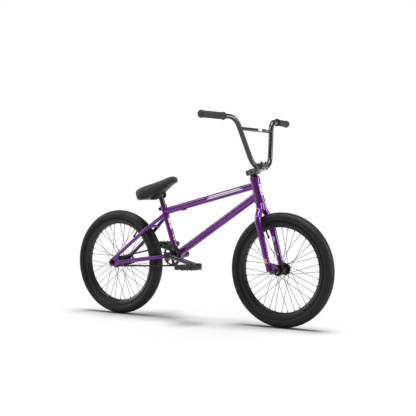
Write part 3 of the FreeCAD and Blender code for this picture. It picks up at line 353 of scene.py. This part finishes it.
def turned(name, foot, direction, profile, mat, body, around, shape, angle):
    """A solid of revolution. profile is (distance along, radius), and shape(angle, along, radius) alters it."""
    d = direction.normalized()
    u, v = across(d)
    verts = []
    for s, r in profile:
        for k in range(around):
            a = 2 * math.pi * k / around
            verts.append(foot + d * s + (u * math.cos(a) + v * math.sin(a)) * shape(a, s, r))
    rows = len(profile)
    faces = grid(rows, around, False, True)
    faces += [tuple(range(around))[::-1], tuple((rows - 1) * around + k for k in range(around))]
    return make(name, verts, faces, mat, body, angle=angle)


# ---------------------------------------------------------------- weld beads
BEAD_R = 0.0020
BEAD_PITCH = 0.0030
DAB_STEPS = 5
BEAD_SAMPLES = 400


def bead_points(start, way, ra, other, other_way, rb):
    """Where a tube of radius ra leaving along way comes out of a tube of radius rb."""
    way, other_way = way.normalized(), other_way.normalized()
    u, v = across(way)
    points = []
    for k in range(BEAD_SAMPLES):
        a = 2 * math.pi * k / BEAD_SAMPLES
        p = start + (u * math.cos(a) + v * math.sin(a)) * ra - other
        p -= other_way * p.dot(other_way)
        w = way - other_way * way.dot(other_way)
        qa, qb, qc = w.dot(w), 2 * w.dot(p), p.dot(p) - rb * rb
        t = (-qb + math.sqrt(max(0.0, qb * qb - 4 * qa * qc))) / (2 * qa)
        points.append(start + (u * math.cos(a) + v * math.sin(a)) * ra + way * t)
    return points


def resample(points, step):
    """Points at even steps round a closed line."""
    loop = points + [points[0]]
    lengths = [0.0]
    for a, b in zip(loop, loop[1:]):
        lengths.append(lengths[-1] + (b - a).length)
    total = lengths[-1]
    count = max(12, round(total / step))
    out, j = [], 0
    for k in range(count):
        s = total * k / count
        while j < len(lengths) - 2 and lengths[j + 1] < s:
            j += 1
        f = (s - lengths[j]) / max(1e-9, lengths[j + 1] - lengths[j])
        out.append(loop[j].lerp(loop[j + 1], f))
    return out


def weld(name, points, body, mat, size):
    """A rippled bead round a seam, one ripple for each dab of the weld."""
    dabs = resample(points, BEAD_PITCH / DAB_STEPS)
    radii = []
    for i, dab in enumerate(dabs):
        phase = (i / DAB_STEPS) % 1.0
        radii.append(size * (0.80 + 0.24 * math.sin(math.pi * phase) + 0.05 * noise.noise(dab * 160)))
    verts, faces = tube_along(dabs, radii, True)
    make(name, verts, faces, mat, body)


# a point on each tube's axis, its direction, its radius
head_axis = (HEAD_LOW, STEER_UP, HEAD_R)
seat_axis = (BB, SEAT_UP, SEAT_R)
shell_axis = (BB, SIDE, SHELL_R)
TO_REAR = (REAR - BB).normalized()


def along_stay(distance, y):
    """A point that far behind the bottom bracket, towards the rear axle, and sideways."""
    return BB + TO_REAR * distance + SIDE * y


def joined(name, start, end, ra, axis, body="frame", mat=PAINT, slot="purple_paint", size=BEAD_R):
    """The bead where a tube from start towards end, of radius ra, leaves the tube given by axis."""
    weld(name, bead_points(start, end - start, ra, *axis), body, mat, size)


joined("weld_top_head", TOP_FRONT, TOP_REAR, TOP_R, head_axis)
joined("weld_top_seat", TOP_REAR, TOP_FRONT, TOP_R, seat_axis)
joined("weld_down_head", DOWN_FRONT, BB, DOWN_R, head_axis)
joined("weld_down_shell", BB, DOWN_FRONT, DOWN_R, shell_axis)
joined("weld_seat_shell", BB, BB + SEAT_UP, SEAT_R, shell_axis)
# two points of a chainstay's axis: distance behind the bottom bracket, distance from the middle plane
CHAINSTAY_AXIS = ((0.006, 0.0245), (0.058, 0.0265))
# the seatstays run from the dropouts to an elbow and on to the seat tube at this height
STAY_HIGH_Z = 0.492
STAY_LOW_AHEAD, STAY_LOW_OUT, STAY_LOW_UP = 0.031, 0.0585, 0.036
ELBOW_AHEAD, ELBOW_OUT, STAY_HIGH_OUT = 0.178, 0.0435, 0.013
BRIDGE_AT, BRIDGE_R = 0.30, 0.007
stay_high = on_axis(BB, SEAT_UP, STAY_HIGH_Z)
for side, label in ((-1, "right"), (1, "left")):
    chainstay = [along_stay(distance, side * out) for distance, out in CHAINSTAY_AXIS]
    joined(f"weld_chainstay_{label}", *chainstay, CHAINSTAY_R, shell_axis, size=0.0017)
    low = Vector((REAR.x + STAY_LOW_AHEAD, side * STAY_LOW_OUT, REAR.z + STAY_LOW_UP))
    elbow = Vector((REAR.x + ELBOW_AHEAD, side * ELBOW_OUT, 0))
    elbow.z = low.z + (stay_high.z - low.z) * (elbow.x - low.x) / (stay_high.x - low.x)
    stay_end = stay_high + SIDE * (side * STAY_HIGH_OUT)
    joined(f"weld_seatstay_{label}", stay_end, elbow, SEATSTAY_R, seat_axis, size=0.0016)
    bridge = elbow.lerp(stay_end, BRIDGE_AT)
    joined(f"weld_upper_bridge_{label}", Vector((bridge.x, 0, bridge.z)), bridge, BRIDGE_R,
           (bridge, stay_end - elbow, SEATSTAY_R), size=0.0014)

# the bar's uprights lean from the clamp to the grips' bends, and CROSS_AT is how far up the crossbar meets them
BAR_RISE, UPRIGHT_BACK, UPRIGHT_OUT, FOOT_OUT = 0.2155, 0.0395, 0.1554, 0.071
CROSS_AT, CROSS_R = 0.775, 0.008
cross = BAR + Vector((-UPRIGHT_BACK, 0, BAR_RISE)) * CROSS_AT
for side, label in ((-1, "right"), (1, "left")):
    upright = Vector((-UPRIGHT_BACK, side * (UPRIGHT_OUT - FOOT_OUT), BAR_RISE))
    meeting = BAR + SIDE * (side * FOOT_OUT) + upright * CROSS_AT
    joined(f"weld_crossbar_{label}", meeting, cross, CROSS_R, (meeting, upright, BAR_R), "handlebar",
           BLACK_TUBE, "black_tube_paint", 0.0014)


# ---------------------------------------------------------------- printed marks on tubes, two of them partly painted highlights
INK_LIFT, INK_ROOT = 0.00018, -0.0003       # the ink's outer and inner faces, from the tube's surface
INK_ROW, INK_COLUMN = 0.004, 8              # metres along the tube and degrees round it from point to point
TOO_STEEP = 0.3                             # below this share of level, a tube's 90 degrees faces forward


def wrap_print(name, start, way, radius, spans, mat, body, out=-SIDE, taper=0.0):
    """Thin patches of ink on a tube, each given as (from, to, low angle, high angle, slant).

    The lengths are in metres along the tube and the angles in degrees round it. Angle 0 faces along out,
    which is the rider's right if it isn't given, and 90 faces forward or up. The tube's radius grows by
    taper for each metre along it.
    """
    d = way.normalized()
    up = Vector((0, 0, 1)) - d * d.z
    if up.length < TOO_STEEP:
        up = Vector((1, 0, 0)) - d * d.x
    up.normalize()
    verts, faces = [], []
    for s0, s1, a0, a1, slant in spans:
        rows = max(2, round((s1 - s0) / INK_ROW) + 1)
        columns = max(3, round(abs(a1 - a0) / INK_COLUMN) + 1)
        for depth in (INK_LIFT, INK_ROOT):
            for i in range(rows):
                for j in range(columns):
                    f = j / (columns - 1)
                    a = math.radians(a0 + (a1 - a0) * f)
                    s = s0 + (s1 - s0) * i / (rows - 1) + slant * (f - 0.5)
                    reach = radius + taper * s + depth
                    verts.append(start + d * s + (out * math.cos(a) + up * math.sin(a)) * reach)
        n = rows * columns
        base = len(verts) - 2 * n
        faces += grid(rows, columns, False, False, base)
        faces += [tuple(reversed(f)) for f in grid(rows, columns, False, False, base + n)]
        rim = [i * columns for i in range(rows)]
        rim += [(rows - 1) * columns + j for j in range(1, columns)]
        rim += [i * columns + columns - 1 for i in range(rows - 2, -1, -1)]
        rim += range(columns - 2, 0, -1)
        for p, q in zip(rim, rim[1:] + rim[:1]):
            faces.append((base + p, base + q, base + n + q, base + n + p))
    make(name, verts, faces, mat, body, angle=40)


def bars(lengths, low, high, slant=0.0):
    """Spans of equal width round the tube."""
    return [(start, end, low, high, slant) for start, end in lengths]


top_way = TOP_FRONT - TOP_REAR
stripes = bars([(0.262, 0.458)], -14, 4) + bars([(0.274, 0.446)], 12, 27)
wrap_print("top_tube_stripes", TOP_REAR, top_way, TOP_R, stripes, WHITE_INK, "frame")
# the white seat tube blocks are partly print and partly a painted highlight on the tube's front
wrap_print("seat_tube_print_and_painted_highlight", BB, SEAT_UP, SEAT_R, bars([(0.128, 0.149), (0.153, 0.180)], 48, 108),
           WHITE_INK, "frame")
wrap_print("seat_tube_dashes", BB, SEAT_UP, SEAT_R, bars([(0.072, 0.081), (0.089, 0.098)], 56, 106, 0.004),
           YELLOW_INK, "frame")
# the white head tube panel is partly a head badge and partly a painted highlight down the tube's front
panel = bars([(0.030, 0.041), (0.044, 0.066), (0.069, 0.080)], 62, 108)
wrap_print("head_tube_badge_and_painted_highlight", HEAD_LOW, STEER_UP, HEAD_R, panel, WHITE_INK, "frame")
# distances below the head tube along the steering axis: the legs' straight stretch, and the taper's start
LEG_TOP, LEG_END = 0.080, 0.313
LEG_TOP_OUT, LEG_END_OUT = 0.057, 0.058
LEG_TAPER_FROM, LEG_LOW_R = 0.120, 0.0116
LEG_TAPER = (LEG_LOW_R - LEG_R) / (LEG_END - LEG_TAPER_FROM)
LEG_PRINT_R = LEG_R - LEG_TAPER * (LEG_TAPER_FROM - LEG_TOP)


def leg_print(name, side, spans, ink):
    """Ink on the fork leg of one side, on the face towards the rider's right."""
    start = HEAD_LOW - STEER_UP * LEG_TOP + SIDE * (side * LEG_TOP_OUT)
    end = HEAD_LOW - STEER_UP * LEG_END + SIDE * (side * LEG_END_OUT)
    wrap_print(name, start, end - start, LEG_PRINT_R, spans, ink, "fork", taper=LEG_TAPER)


leg_print("right_leg_dashes", -1, bars([(0.176, 0.184), (0.187, 0.195)], -24, 34, 0.005), YELLOW_INK)
leg_print("left_leg_blocks", 1, bars([(0.078, 0.104), (0.153, 0.166)], -16, 22), WHITE_INK)
leg_print("left_leg_dash", 1, bars([(0.115, 0.147)], -14, 20), ORANGE_INK)
FORWARD = Vector((1, 0, 0))
wrap_print("crossbar_block", cross, SIDE, CROSS_R, bars([(0.010, 0.043)], -28, 40), WHITE_INK, "handlebar",
           FORWARD)
wrap_print("crossbar_dash", cross, SIDE, CROSS_R, bars([(0.070, 0.098)], -20, 34), GREY_INK, "handlebar",
           FORWARD)

# ---------------------------------------------------------------- tyres
BLOCKS = 150
BLOCK_STEPS = (0.0, 0.035, 0.20, 0.235, 0.49, 0.745)   # where a block's rows lie, as shares of its pitch
CUT_STEPS = (1, 2)                                     # the rows at the bottom of the cut between two blocks
TREAD_DEPTH = 0.0013
TREAD_EDGE = 0.0262                                    # the tread's outermost column, from the middle plane
WALL_TOP_R = 0.2412                                    # above this radius the tread begins
TURNED_FROM_R = 0.236                                  # wall rows past this radius turn with the tread's edge
CUT_LEAN = 0.45                                        # how far a cut leans inwards at the tread's edge
# half of the tyre's skin from the bead to the crown: distance from the middle plane, distance from the axle
HALF = [(0.0160, 0.2044), (0.0160, 0.2080), (0.0160, 0.2112), (0.0178, 0.2126), (0.0204, 0.2145),
        (0.0232, 0.2168), (0.0256, 0.2196), (0.0275, 0.2228), (0.0290, 0.2263), (0.0298, 0.2300),
        (0.0298, 0.2336), (0.0291, 0.2370), (0.0277, 0.2402), (0.0258, 0.2431), (0.0240, 0.2452),
        (0.0221, 0.2470), (0.0201, 0.2486), (0.0180, 0.2500), (0.0158, 0.2512), (0.0136, 0.2523),
        (0.0113, 0.2532), (0.0090, 0.2539), (0.0067, 0.2545), (0.0044, 0.2548), (0.0022, 0.25495),
        (0.0, 0.2550)]
WALL_ROWS, CROWN_ROWS = HALF[6:], HALF[11:]            # the outer wall, and the part that the tread lies on
# the tread's columns: distance from the middle plane, and whether it lies in a channel round the tyre
TREAD = [(TREAD_EDGE, 0), (0.0245, 0), (0.0226, 0), (0.0204, 0), (0.0183, 0), (0.0179, 1), (0.0166, 1),
         (0.0162, 0), (0.0140, 0), (0.0118, 0), (0.0096, 0), (0.0079, 0), (0.0075, 1), (0.0062, 1),
         (0.0058, 0), (0.0036, 0), (0.0015, 0)]
# the zigzag of the cuts: distance from the middle plane, how far round in blocks
ZIGZAG = [(0.0, 0.0), (0.0068, 0.44), (0.0172, -0.08), (TREAD_EDGE, 0.496)]
# raised rings on the wall, from radius to radius
SIDE_RINGS = [(0.2185, 0.2193), (0.2352, 0.2360), (0.2372, 0.2378)]
RING_HEIGHT, RING_SLOPE = 0.0004, 0.0002
# half of the tyre's inside, then its crown
INSIDE = [(0.0124, 0.2046), (0.0124, 0.2135), (0.0200, 0.2180), (0.0255, 0.2260), (0.0255, 0.2340),
          (0.0200, 0.2430), (0.0100, 0.2485)]
INSIDE_CROWN_R = 0.2500


def between(table, value, key, out):
    """Reads a table by straight lines between its rows."""
    for a, b in zip(table, table[1:]):
        if min(a[key], b[key]) <= value <= max(a[key], b[key]):
            f = (value - a[key]) / (b[key] - a[key])
            return a[out] + (b[out] - a[out]) * f
    return table[-1][out]


def tyre_skin():
    """Half of the outer skin, bead to crown: (distance from the middle, radius, depth cut away, is tread)."""
    rows = [(y, r, 0.0, False) for y, r in HALF if r < WALL_TOP_R]
    for low, high in SIDE_RINGS:
        for r in (low - RING_SLOPE, low, high, high + RING_SLOPE):
            height = RING_HEIGHT if low <= r <= high else 0.0
            rows.append((between(WALL_ROWS, r, 1, 0) + height, r, 0.0, False))
    rows.sort(key=lambda row: row[1])
    rows += [(y, between(CROWN_ROWS, y, 0, 1), TREAD_DEPTH * channel, True) for y, channel in TREAD]
    return rows


def chevron(y):
    """How far round, in blocks, the cuts lean at a distance from the middle."""
    return between(ZIGZAG, abs(y), 0, 1)


def tyre(name, centre, node, body):
    """A tyre's whole skin: blocks repeated round it, cut to the tread's depth between them."""
    half = tyre_skin()
    outer = [(-y, *rest) for y, *rest in half] + [(0.0, TYRE_R, 0.0, True)] + half[::-1]
    inner = [(y, r, 0.0, False) for y, r in INSIDE] + [(0.0, INSIDE_CROWN_R, 0.0, False)]
    inner += [(-y, r, 0.0, False) for y, r in reversed(INSIDE)]
    profile = outer + inner
    verts = []
    for block in range(BLOCKS):
        for k, part in enumerate(BLOCK_STEPS):
            for y, r, cut, is_tread in profile:
                turned_by = chevron(y) if is_tread else chevron(TREAD_EDGE) * (r > TURNED_FROM_R)
                if is_tread and k in CUT_STEPS:
                    cut = TREAD_DEPTH
                t = 2 * math.pi * (block + part + turned_by) / BLOCKS
                lean = cut * CUT_LEAN * y / TREAD_EDGE
                rr = r - cut
                verts.append(centre + Vector((math.sin(t) * rr, y - lean, math.cos(t) * rr)))
    rows = BLOCKS * len(BLOCK_STEPS)
    obj = make(name, verts, grid(rows, len(profile), True, True), TYRE, body, angle=35)
    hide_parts(node)


tyre("front_tyre_tread", FRONT, "front_tyre", "front_wheel")
tyre("rear_tyre_tread", REAR, "rear_tyre", "rear_wheel")

# ---------------------------------------------------------------- grips
GRIP_LENGTH = 0.140
GRIP_RIBS = 26
RIB_HEIGHT = 0.00055
RIBS_FROM, RIBS_TO = 0.0142, 0.1178
# the bar's end behind, beside and above the clamp
END_BACK, END_OUT, END_UP = 0.0801, 0.367, 0.2175
# distance along, radius: the inner flange and the outer end
FLANGE = [(-0.0002, 0.01135), (-0.0002, 0.0140), (0.0006, 0.0172), (0.0020, 0.0178), (0.0036, 0.0176),
          (0.0046, 0.0165), (0.0052, 0.0150), (0.0120, 0.0142), (0.0140, 0.0142)]
OUTER_END = [(0.1195, 0.0142), (0.1240, 0.0142), (0.1262, 0.0150), (0.1290, 0.0168), (0.1330, 0.0173),
             (0.1380, 0.0170), (0.1398, 0.0158), (0.1399, 0.01135)]
GRIP_STEPS, RING_STEPS = 30, 3
MIDDLE_FROM, MIDDLE_LENGTH = 0.0140, 0.104
MIDDLE_R, RING_WAVE = 0.0147, 0.0004


def grip(side, label):
    """A grip with ribs along it, crossed by shallow rings, between a flange and a thicker end."""
    foot = BAR + Vector((-UPRIGHT_BACK, side * UPRIGHT_OUT, BAR_RISE))
    tip = BAR + Vector((-END_BACK, side * END_OUT, END_UP))
    way = (tip - foot).normalized()
    start = tip - way * GRIP_LENGTH
    middle = []
    for k in range(GRIP_STEPS + 1):
        ring = RING_WAVE * math.cos(2 * math.pi * k / RING_STEPS)
        middle.append((MIDDLE_FROM + MIDDLE_LENGTH * k / GRIP_STEPS, MIDDLE_R + ring))

    def shape(a, s, r):
        if RIBS_FROM < s < RIBS_TO:
            wave = math.sin(a * GRIP_RIBS)
            return r + RIB_HEIGHT * math.copysign(abs(wave) ** 0.6, wave)
        return r

    obj = turned(f"grip_ribbed_{label}", start, way, FLANGE + middle + OUTER_END, GRIP, "handlebar",
                 GRIP_RIBS * 8, shape, 50)
    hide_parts(f"grip_{label}")


grip(-1, "right")
grip(1, "left")

# ---------------------------------------------------------------- saddle cover
SADDLE_TILT = math.radians(19.0)
SADDLE_FWD = Vector((math.cos(SADDLE_TILT), 0, math.sin(SADDLE_TILT)))
SADDLE_UP = Vector((-math.sin(SADDLE_TILT), 0, math.cos(SADDLE_TILT)))
VOXEL = 0.0038
SHRINK = 0.0022
MOST_SWELL = 0.0045
PRESSURE = 4.0
FULL_FRAMES, QUICK_FRAMES = 20, 6
# a vertex is held if a ray from just off it soon meets the pad or the base, or if it faces this far down
LOOK_FROM, LOOK_FAR, DOWNWARD = 0.003, 0.05, -0.35
# the saddle's edge: ahead of the pivot, half width, top, lower edge
EDGE = [(-0.113, 0.036, 0.059, 0.025), (-0.105, 0.054, 0.066, 0.014), (-0.082, 0.067, 0.069, 0.004),
        (-0.045, 0.061, 0.0685, 0.0), (-0.010, 0.042, 0.067, 0.004), (0.025, 0.030, 0.066, 0.011),
        (0.060, 0.025, 0.0655, 0.021), (0.090, 0.0235, 0.064, 0.028), (0.107, 0.020, 0.058, 0.030),
        (0.115, 0.012, 0.050, 0.034)]


def modifier_applied(obj):
    """Bakes every modifier of obj into its mesh."""
    graph = bpy.context.evaluated_depsgraph_get()
    baked = bpy.data.meshes.new_from_object(obj.evaluated_get(graph))
    obj.modifiers.clear()
    obj.data = baked


def tree_of(obj):
    """A search tree over an object's faces."""
    work = bmesh.new()
    work.from_mesh(obj.data)
    tree = BVHTree.FromBMesh(work)
    work.free()
    return tree


def inward_facing(obj, trees):
    """The vertices of a remeshed pad that look into the pad's own hollows, at the base, or downwards."""
    held = []
    for v in obj.data.vertices:
        start = v.co + v.normal * LOOK_FROM
        blocked = any(tree.ray_cast(start, v.normal, LOOK_FAR)[0] is not None for tree in trees)
        if blocked or v.normal.dot(SADDLE_UP) < DOWNWARD:
            held.append(v.index)
    return held


def padded_cover():
    """The cover over its foam: a slightly smaller copy of the pad, swollen as cloth under pressure."""
    pad = bpy.data.objects.new("saddle_cover_padded", NODES["saddle_pad"].data.copy())
    bpy.context.scene.collection.objects.link(pad)
    remesh = pad.modifiers.new("remesh", "REMESH")
    remesh.mode, remesh.voxel_size = "VOXEL", VOXEL
    modifier_applied(pad)
    held = inward_facing(pad, [tree_of(pad), tree_of(NODES["saddle_base"])])
    still = set(held)
    mesh = pad.data
    normals = [v.normal.copy() for v in mesh.vertices]
    for v in mesh.vertices:
        if v.index not in still:
            v.co -= normals[v.index] * SHRINK
    start = [v.co.copy() for v in mesh.vertices]
    pins = pad.vertex_groups.new(name="held")
    pins.add(held, 1.0, "REPLACE")
    cloth = pad.modifiers.new("cloth", "CLOTH")
    setup = cloth.settings
    setup.use_pressure, setup.uniform_pressure_force = True, PRESSURE
    setup.effector_weights.gravity = 0.0
    setup.vertex_group_mass = "held"
    setup.quality = 5
    frames = FULL_FRAMES
    cloth.point_cache.frame_start, cloth.point_cache.frame_end = 1, frames
    scene = bpy.context.scene
    for frame_number in range(1, frames + 1):
        scene.frame_set(frame_number)
        bpy.context.view_layer.update()
    modifier_applied(pad)
    scene.frame_set(1)
    for v, home in zip(pad.data.vertices, start):
        moved = v.co - home
        if moved.length > MOST_SWELL:
            v.co = home + moved.normalized() * MOST_SWELL
    even = pad.modifiers.new("even", "SMOOTH")
    even.factor, even.iterations = 0.5, 6
    finer = pad.modifiers.new("finer", "SUBSURF")
    finer.levels = finer.render_levels = 1
    modifier_applied(pad)
    pad.data.materials.clear()
    pad.data.materials.append(COVER)
    return pad


def edge_loop(inset, height):
    """A loop round the saddle, inset from its side, at that share of its thickness above its lower edge."""
    loop = []
    for side in (-1, 1):
        half = [(s, side * (w - inset), low + (top - low) * height) for s, w, top, low in EDGE]
        loop += half if side < 0 else half[::-1]
    return [PIVOT + SADDLE_FWD * s + SIDE * y + SADDLE_UP * u for s, y, u in loop]


def smooth_loop(points, step):
    """A closed curve through points, at even steps."""
    fine, count = [], len(points)
    for i in range(count):
        a, b, c, d = (points[(i + k) % count] for k in (-1, 0, 1, 2))
        for k in range(12):
            t = k / 12
            fine.append(0.5 * (2 * b + (c - a) * t + (2 * a - 5 * b + 4 * c - d) * t * t
                               + (3 * b - a - 3 * c + d) * t ** 3))
    return resample(fine, step)


def evened(values, rounds):
    """A closed run of vectors, each drawn towards the mean of its neighbours."""
    for _ in range(rounds):
        ahead = values[1:] + values[:1]
        behind = values[-1:] + values[:-1]
        values = [(a + b * 2 + c) / 4 for a, b, c in zip(behind, values, ahead)]
    return values


def on_skin(tree, points, lift):
    """Points moved on to a surface, and their outward directions there."""
    hits = [tree.find_nearest(p) for p in points]
    spots = evened([hit[0] for hit in hits], 12)
    ways = [way.normalized() for way in evened([hit[1] for hit in hits], 20)]
    return [(spot + way * lift, way) for spot, way in zip(spots, ways)]


def press_groove(mesh, line, width, depth):
    """Presses a soft channel into a mesh along a line of points."""
    finder = KDTree(len(line))
    for i, p in enumerate(line):
        finder.insert(p, i)
    finder.balance()
    normals = [v.normal.copy() for v in mesh.vertices]
    for v in mesh.vertices:
        _, _, gap = finder.find(v.co)
        if gap < width * 3:
            v.co -= normals[v.index] * (depth * math.exp(-(gap / width) ** 2))
    mesh.update()


# along a stitch: share of its length from its middle, share of the thread's radius
STITCH = [(-0.5, 0.45), (-0.3, 0.95), (0, 1.0), (0.3, 0.95), (0.5, 0.45)]
STITCH_LENGTH, THREAD_R = 0.0028, 0.00038


def stitches(name, line):
    """Short rounded threads, laid end to end along a line of (place, outward direction)."""
    verts, faces = [], []
    for (p, up), (q, _) in zip(line[::2], line[1::2]):
        way = (q - p).normalized()
        rise = [THREAD_R * (0.4 - 2.6 * (2 * t) ** 4) for t, _ in STITCH]
        points = [p + way * (STITCH_LENGTH * t) + up * h for (t, _), h in zip(STITCH, rise)]
        ring, sides = tube_along(points, [THREAD_R * share for _, share in STITCH], False, 6)
        faces += [tuple(i + len(verts) for i in f) for f in sides]
        verts += ring
    make(name, verts, faces, THREAD, "saddle")


PIPING_R = 0.0010
SEAM_AT, STITCHES_AT = 0.20, 0.27       # shares of the saddle's thickness above its lower edge
cover = padded_cover()
skin = tree_of(cover)
seam_line = on_skin(skin, smooth_loop(edge_loop(0.0005, SEAM_AT), 0.0018), -0.0008)
upper_line = on_skin(skin, smooth_loop(edge_loop(0.0, STITCHES_AT), 0.0021), 0.0001)
press_groove(cover.data, [p for p, _ in seam_line], 0.0019, 0.0013)
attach(cover, "saddle")
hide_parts("saddle_pad")
for poly in cover.data.polygons:
    poly.use_smooth = True
piping = resample([p for p, _ in seam_line], 0.0015)
cord_verts, cord_faces = tube_along(piping, [PIPING_R] * len(piping), True)
make("saddle_seam_piping", cord_verts, cord_faces, COVER, "saddle")
stitches("saddle_seam_stitches", upper_line)


# ---------------------------------------------------------------- stage, light and camera
def stage_floor():
    """A plain pale floor, just under the tyres."""
    bpy.ops.mesh.primitive_circle_add(vertices=96, radius=60.0, fill_type="NGON", location=(0, 0, -0.0005))
    floor = bpy.context.object
    floor.name = "studio_floor"
    m = Nodes("studio_floor_paint")
    colour = m.ramp(m.noise(1.5, 3.0), [(0.3, (0.93, 0.93, 0.93)), (0.7, (0.95, 0.95, 0.95))])
    floor.data.materials.append(m.finish(colour, m.spread(m.noise(6.0), 0.75, 0.85), Specular_IOR_Level=0.1))
    return floor


def area_light(name, place, target, size, power, spared):
    """A soft box at place, turned to target. The collection spared says what it doesn't light."""
    data = bpy.data.lights.new(name, "AREA")
    data.shape = "RECTANGLE"
    data.size, data.size_y = size
    data.energy = power
    light = bpy.data.objects.new(name, data)
    light.location = place
    light.rotation_mode = "QUATERNION"
    light.rotation_quaternion = (Vector(target) - Vector(place)).to_track_quat("-Z", "Y")
    bpy.context.scene.collection.objects.link(light)
    light.light_linking.receiver_collection = spared


def camera():
    """The camera stands ahead of the bicycle on its right, at the height of its top tube, almost level."""
    data = bpy.data.cameras.new("camera")
    data.sensor_width, data.lens = 36.0, 80.75
    data.clip_start, data.clip_end = 0.1, 200.0
    cam = bpy.data.objects.new("camera", data)
    yaw, pitch = math.radians(33.920), math.radians(0.976)
    cam.location = (REAR.x + 2.9449, -3.5975, 0.5992)
    forward = Vector((-math.sin(yaw) * math.cos(pitch), math.cos(yaw) * math.cos(pitch), -math.sin(pitch)))
    cam.rotation_mode = "QUATERNION"
    cam.rotation_quaternion = forward.to_track_quat("-Z", "Y")
    bpy.context.scene.collection.objects.link(cam)
    bpy.context.scene.camera = cam


def overhead_sun(strength, spread, tilt):
    """An even wash from above, so that the floor is as pale far away as it is under the wheels."""
    data = bpy.data.lights.new("overhead", "SUN")
    data.energy, data.angle = strength, math.radians(spread)
    light = bpy.data.objects.new("overhead", data)
    light.rotation_euler = tilt
    bpy.context.scene.collection.objects.link(light)


def studio_world(backdrop, ambient):
    """A white backdrop behind the object, and a dimmer one around it for its reflections."""
    world = bpy.data.worlds.new("studio")
    world.use_nodes = True
    tree = world.node_tree
    shown = tree.nodes["Background"]
    shown.inputs["Color"].default_value = (1, 1, 1, 1)
    shown.inputs["Strength"].default_value = backdrop
    around = tree.nodes.new("ShaderNodeBackground")
    around.inputs["Color"].default_value = (1, 1, 1, 1)
    around.inputs["Strength"].default_value = ambient
    path = tree.nodes.new("ShaderNodeLightPath")
    mix = tree.nodes.new("ShaderNodeMixShader")
    tree.links.new(path.outputs["Is Camera Ray"], mix.inputs["Fac"])
    tree.links.new(around.outputs[0], mix.inputs[1])
    tree.links.new(shown.outputs[0], mix.inputs[2])
    tree.links.new(mix.outputs[0], tree.nodes["World Output"].inputs["Surface"])
    bpy.context.scene.world = world


# the strips shape the object's highlights and leave the floor alone
floor_spared = bpy.data.collections.new("floor_spared")
floor_spared.objects.link(stage_floor())
floor_spared.collection_objects[0].light_linking.link_state = "EXCLUDE"
overhead_sun(2.87, 34, (math.radians(-2), math.radians(3), 0))
area_light("front_strip", (3.1, 1.3, 1.3), (0.2, 0, 0.5), (0.8, 2.6), 70, floor_spared)
area_light("top_strip", (-1.6, -1.1, 2.7), (-1.6, 0, 0.4), (3.4, 0.24), 30, floor_spared)
area_light("rear_strip", (-3.0, -0.5, 1.4), (0, 0, 0.5), (0.7, 2.4), 34, floor_spared)
studio_world(1.0, 0.20)
bpy.context.scene.view_settings.view_transform = "Standard"
camera()
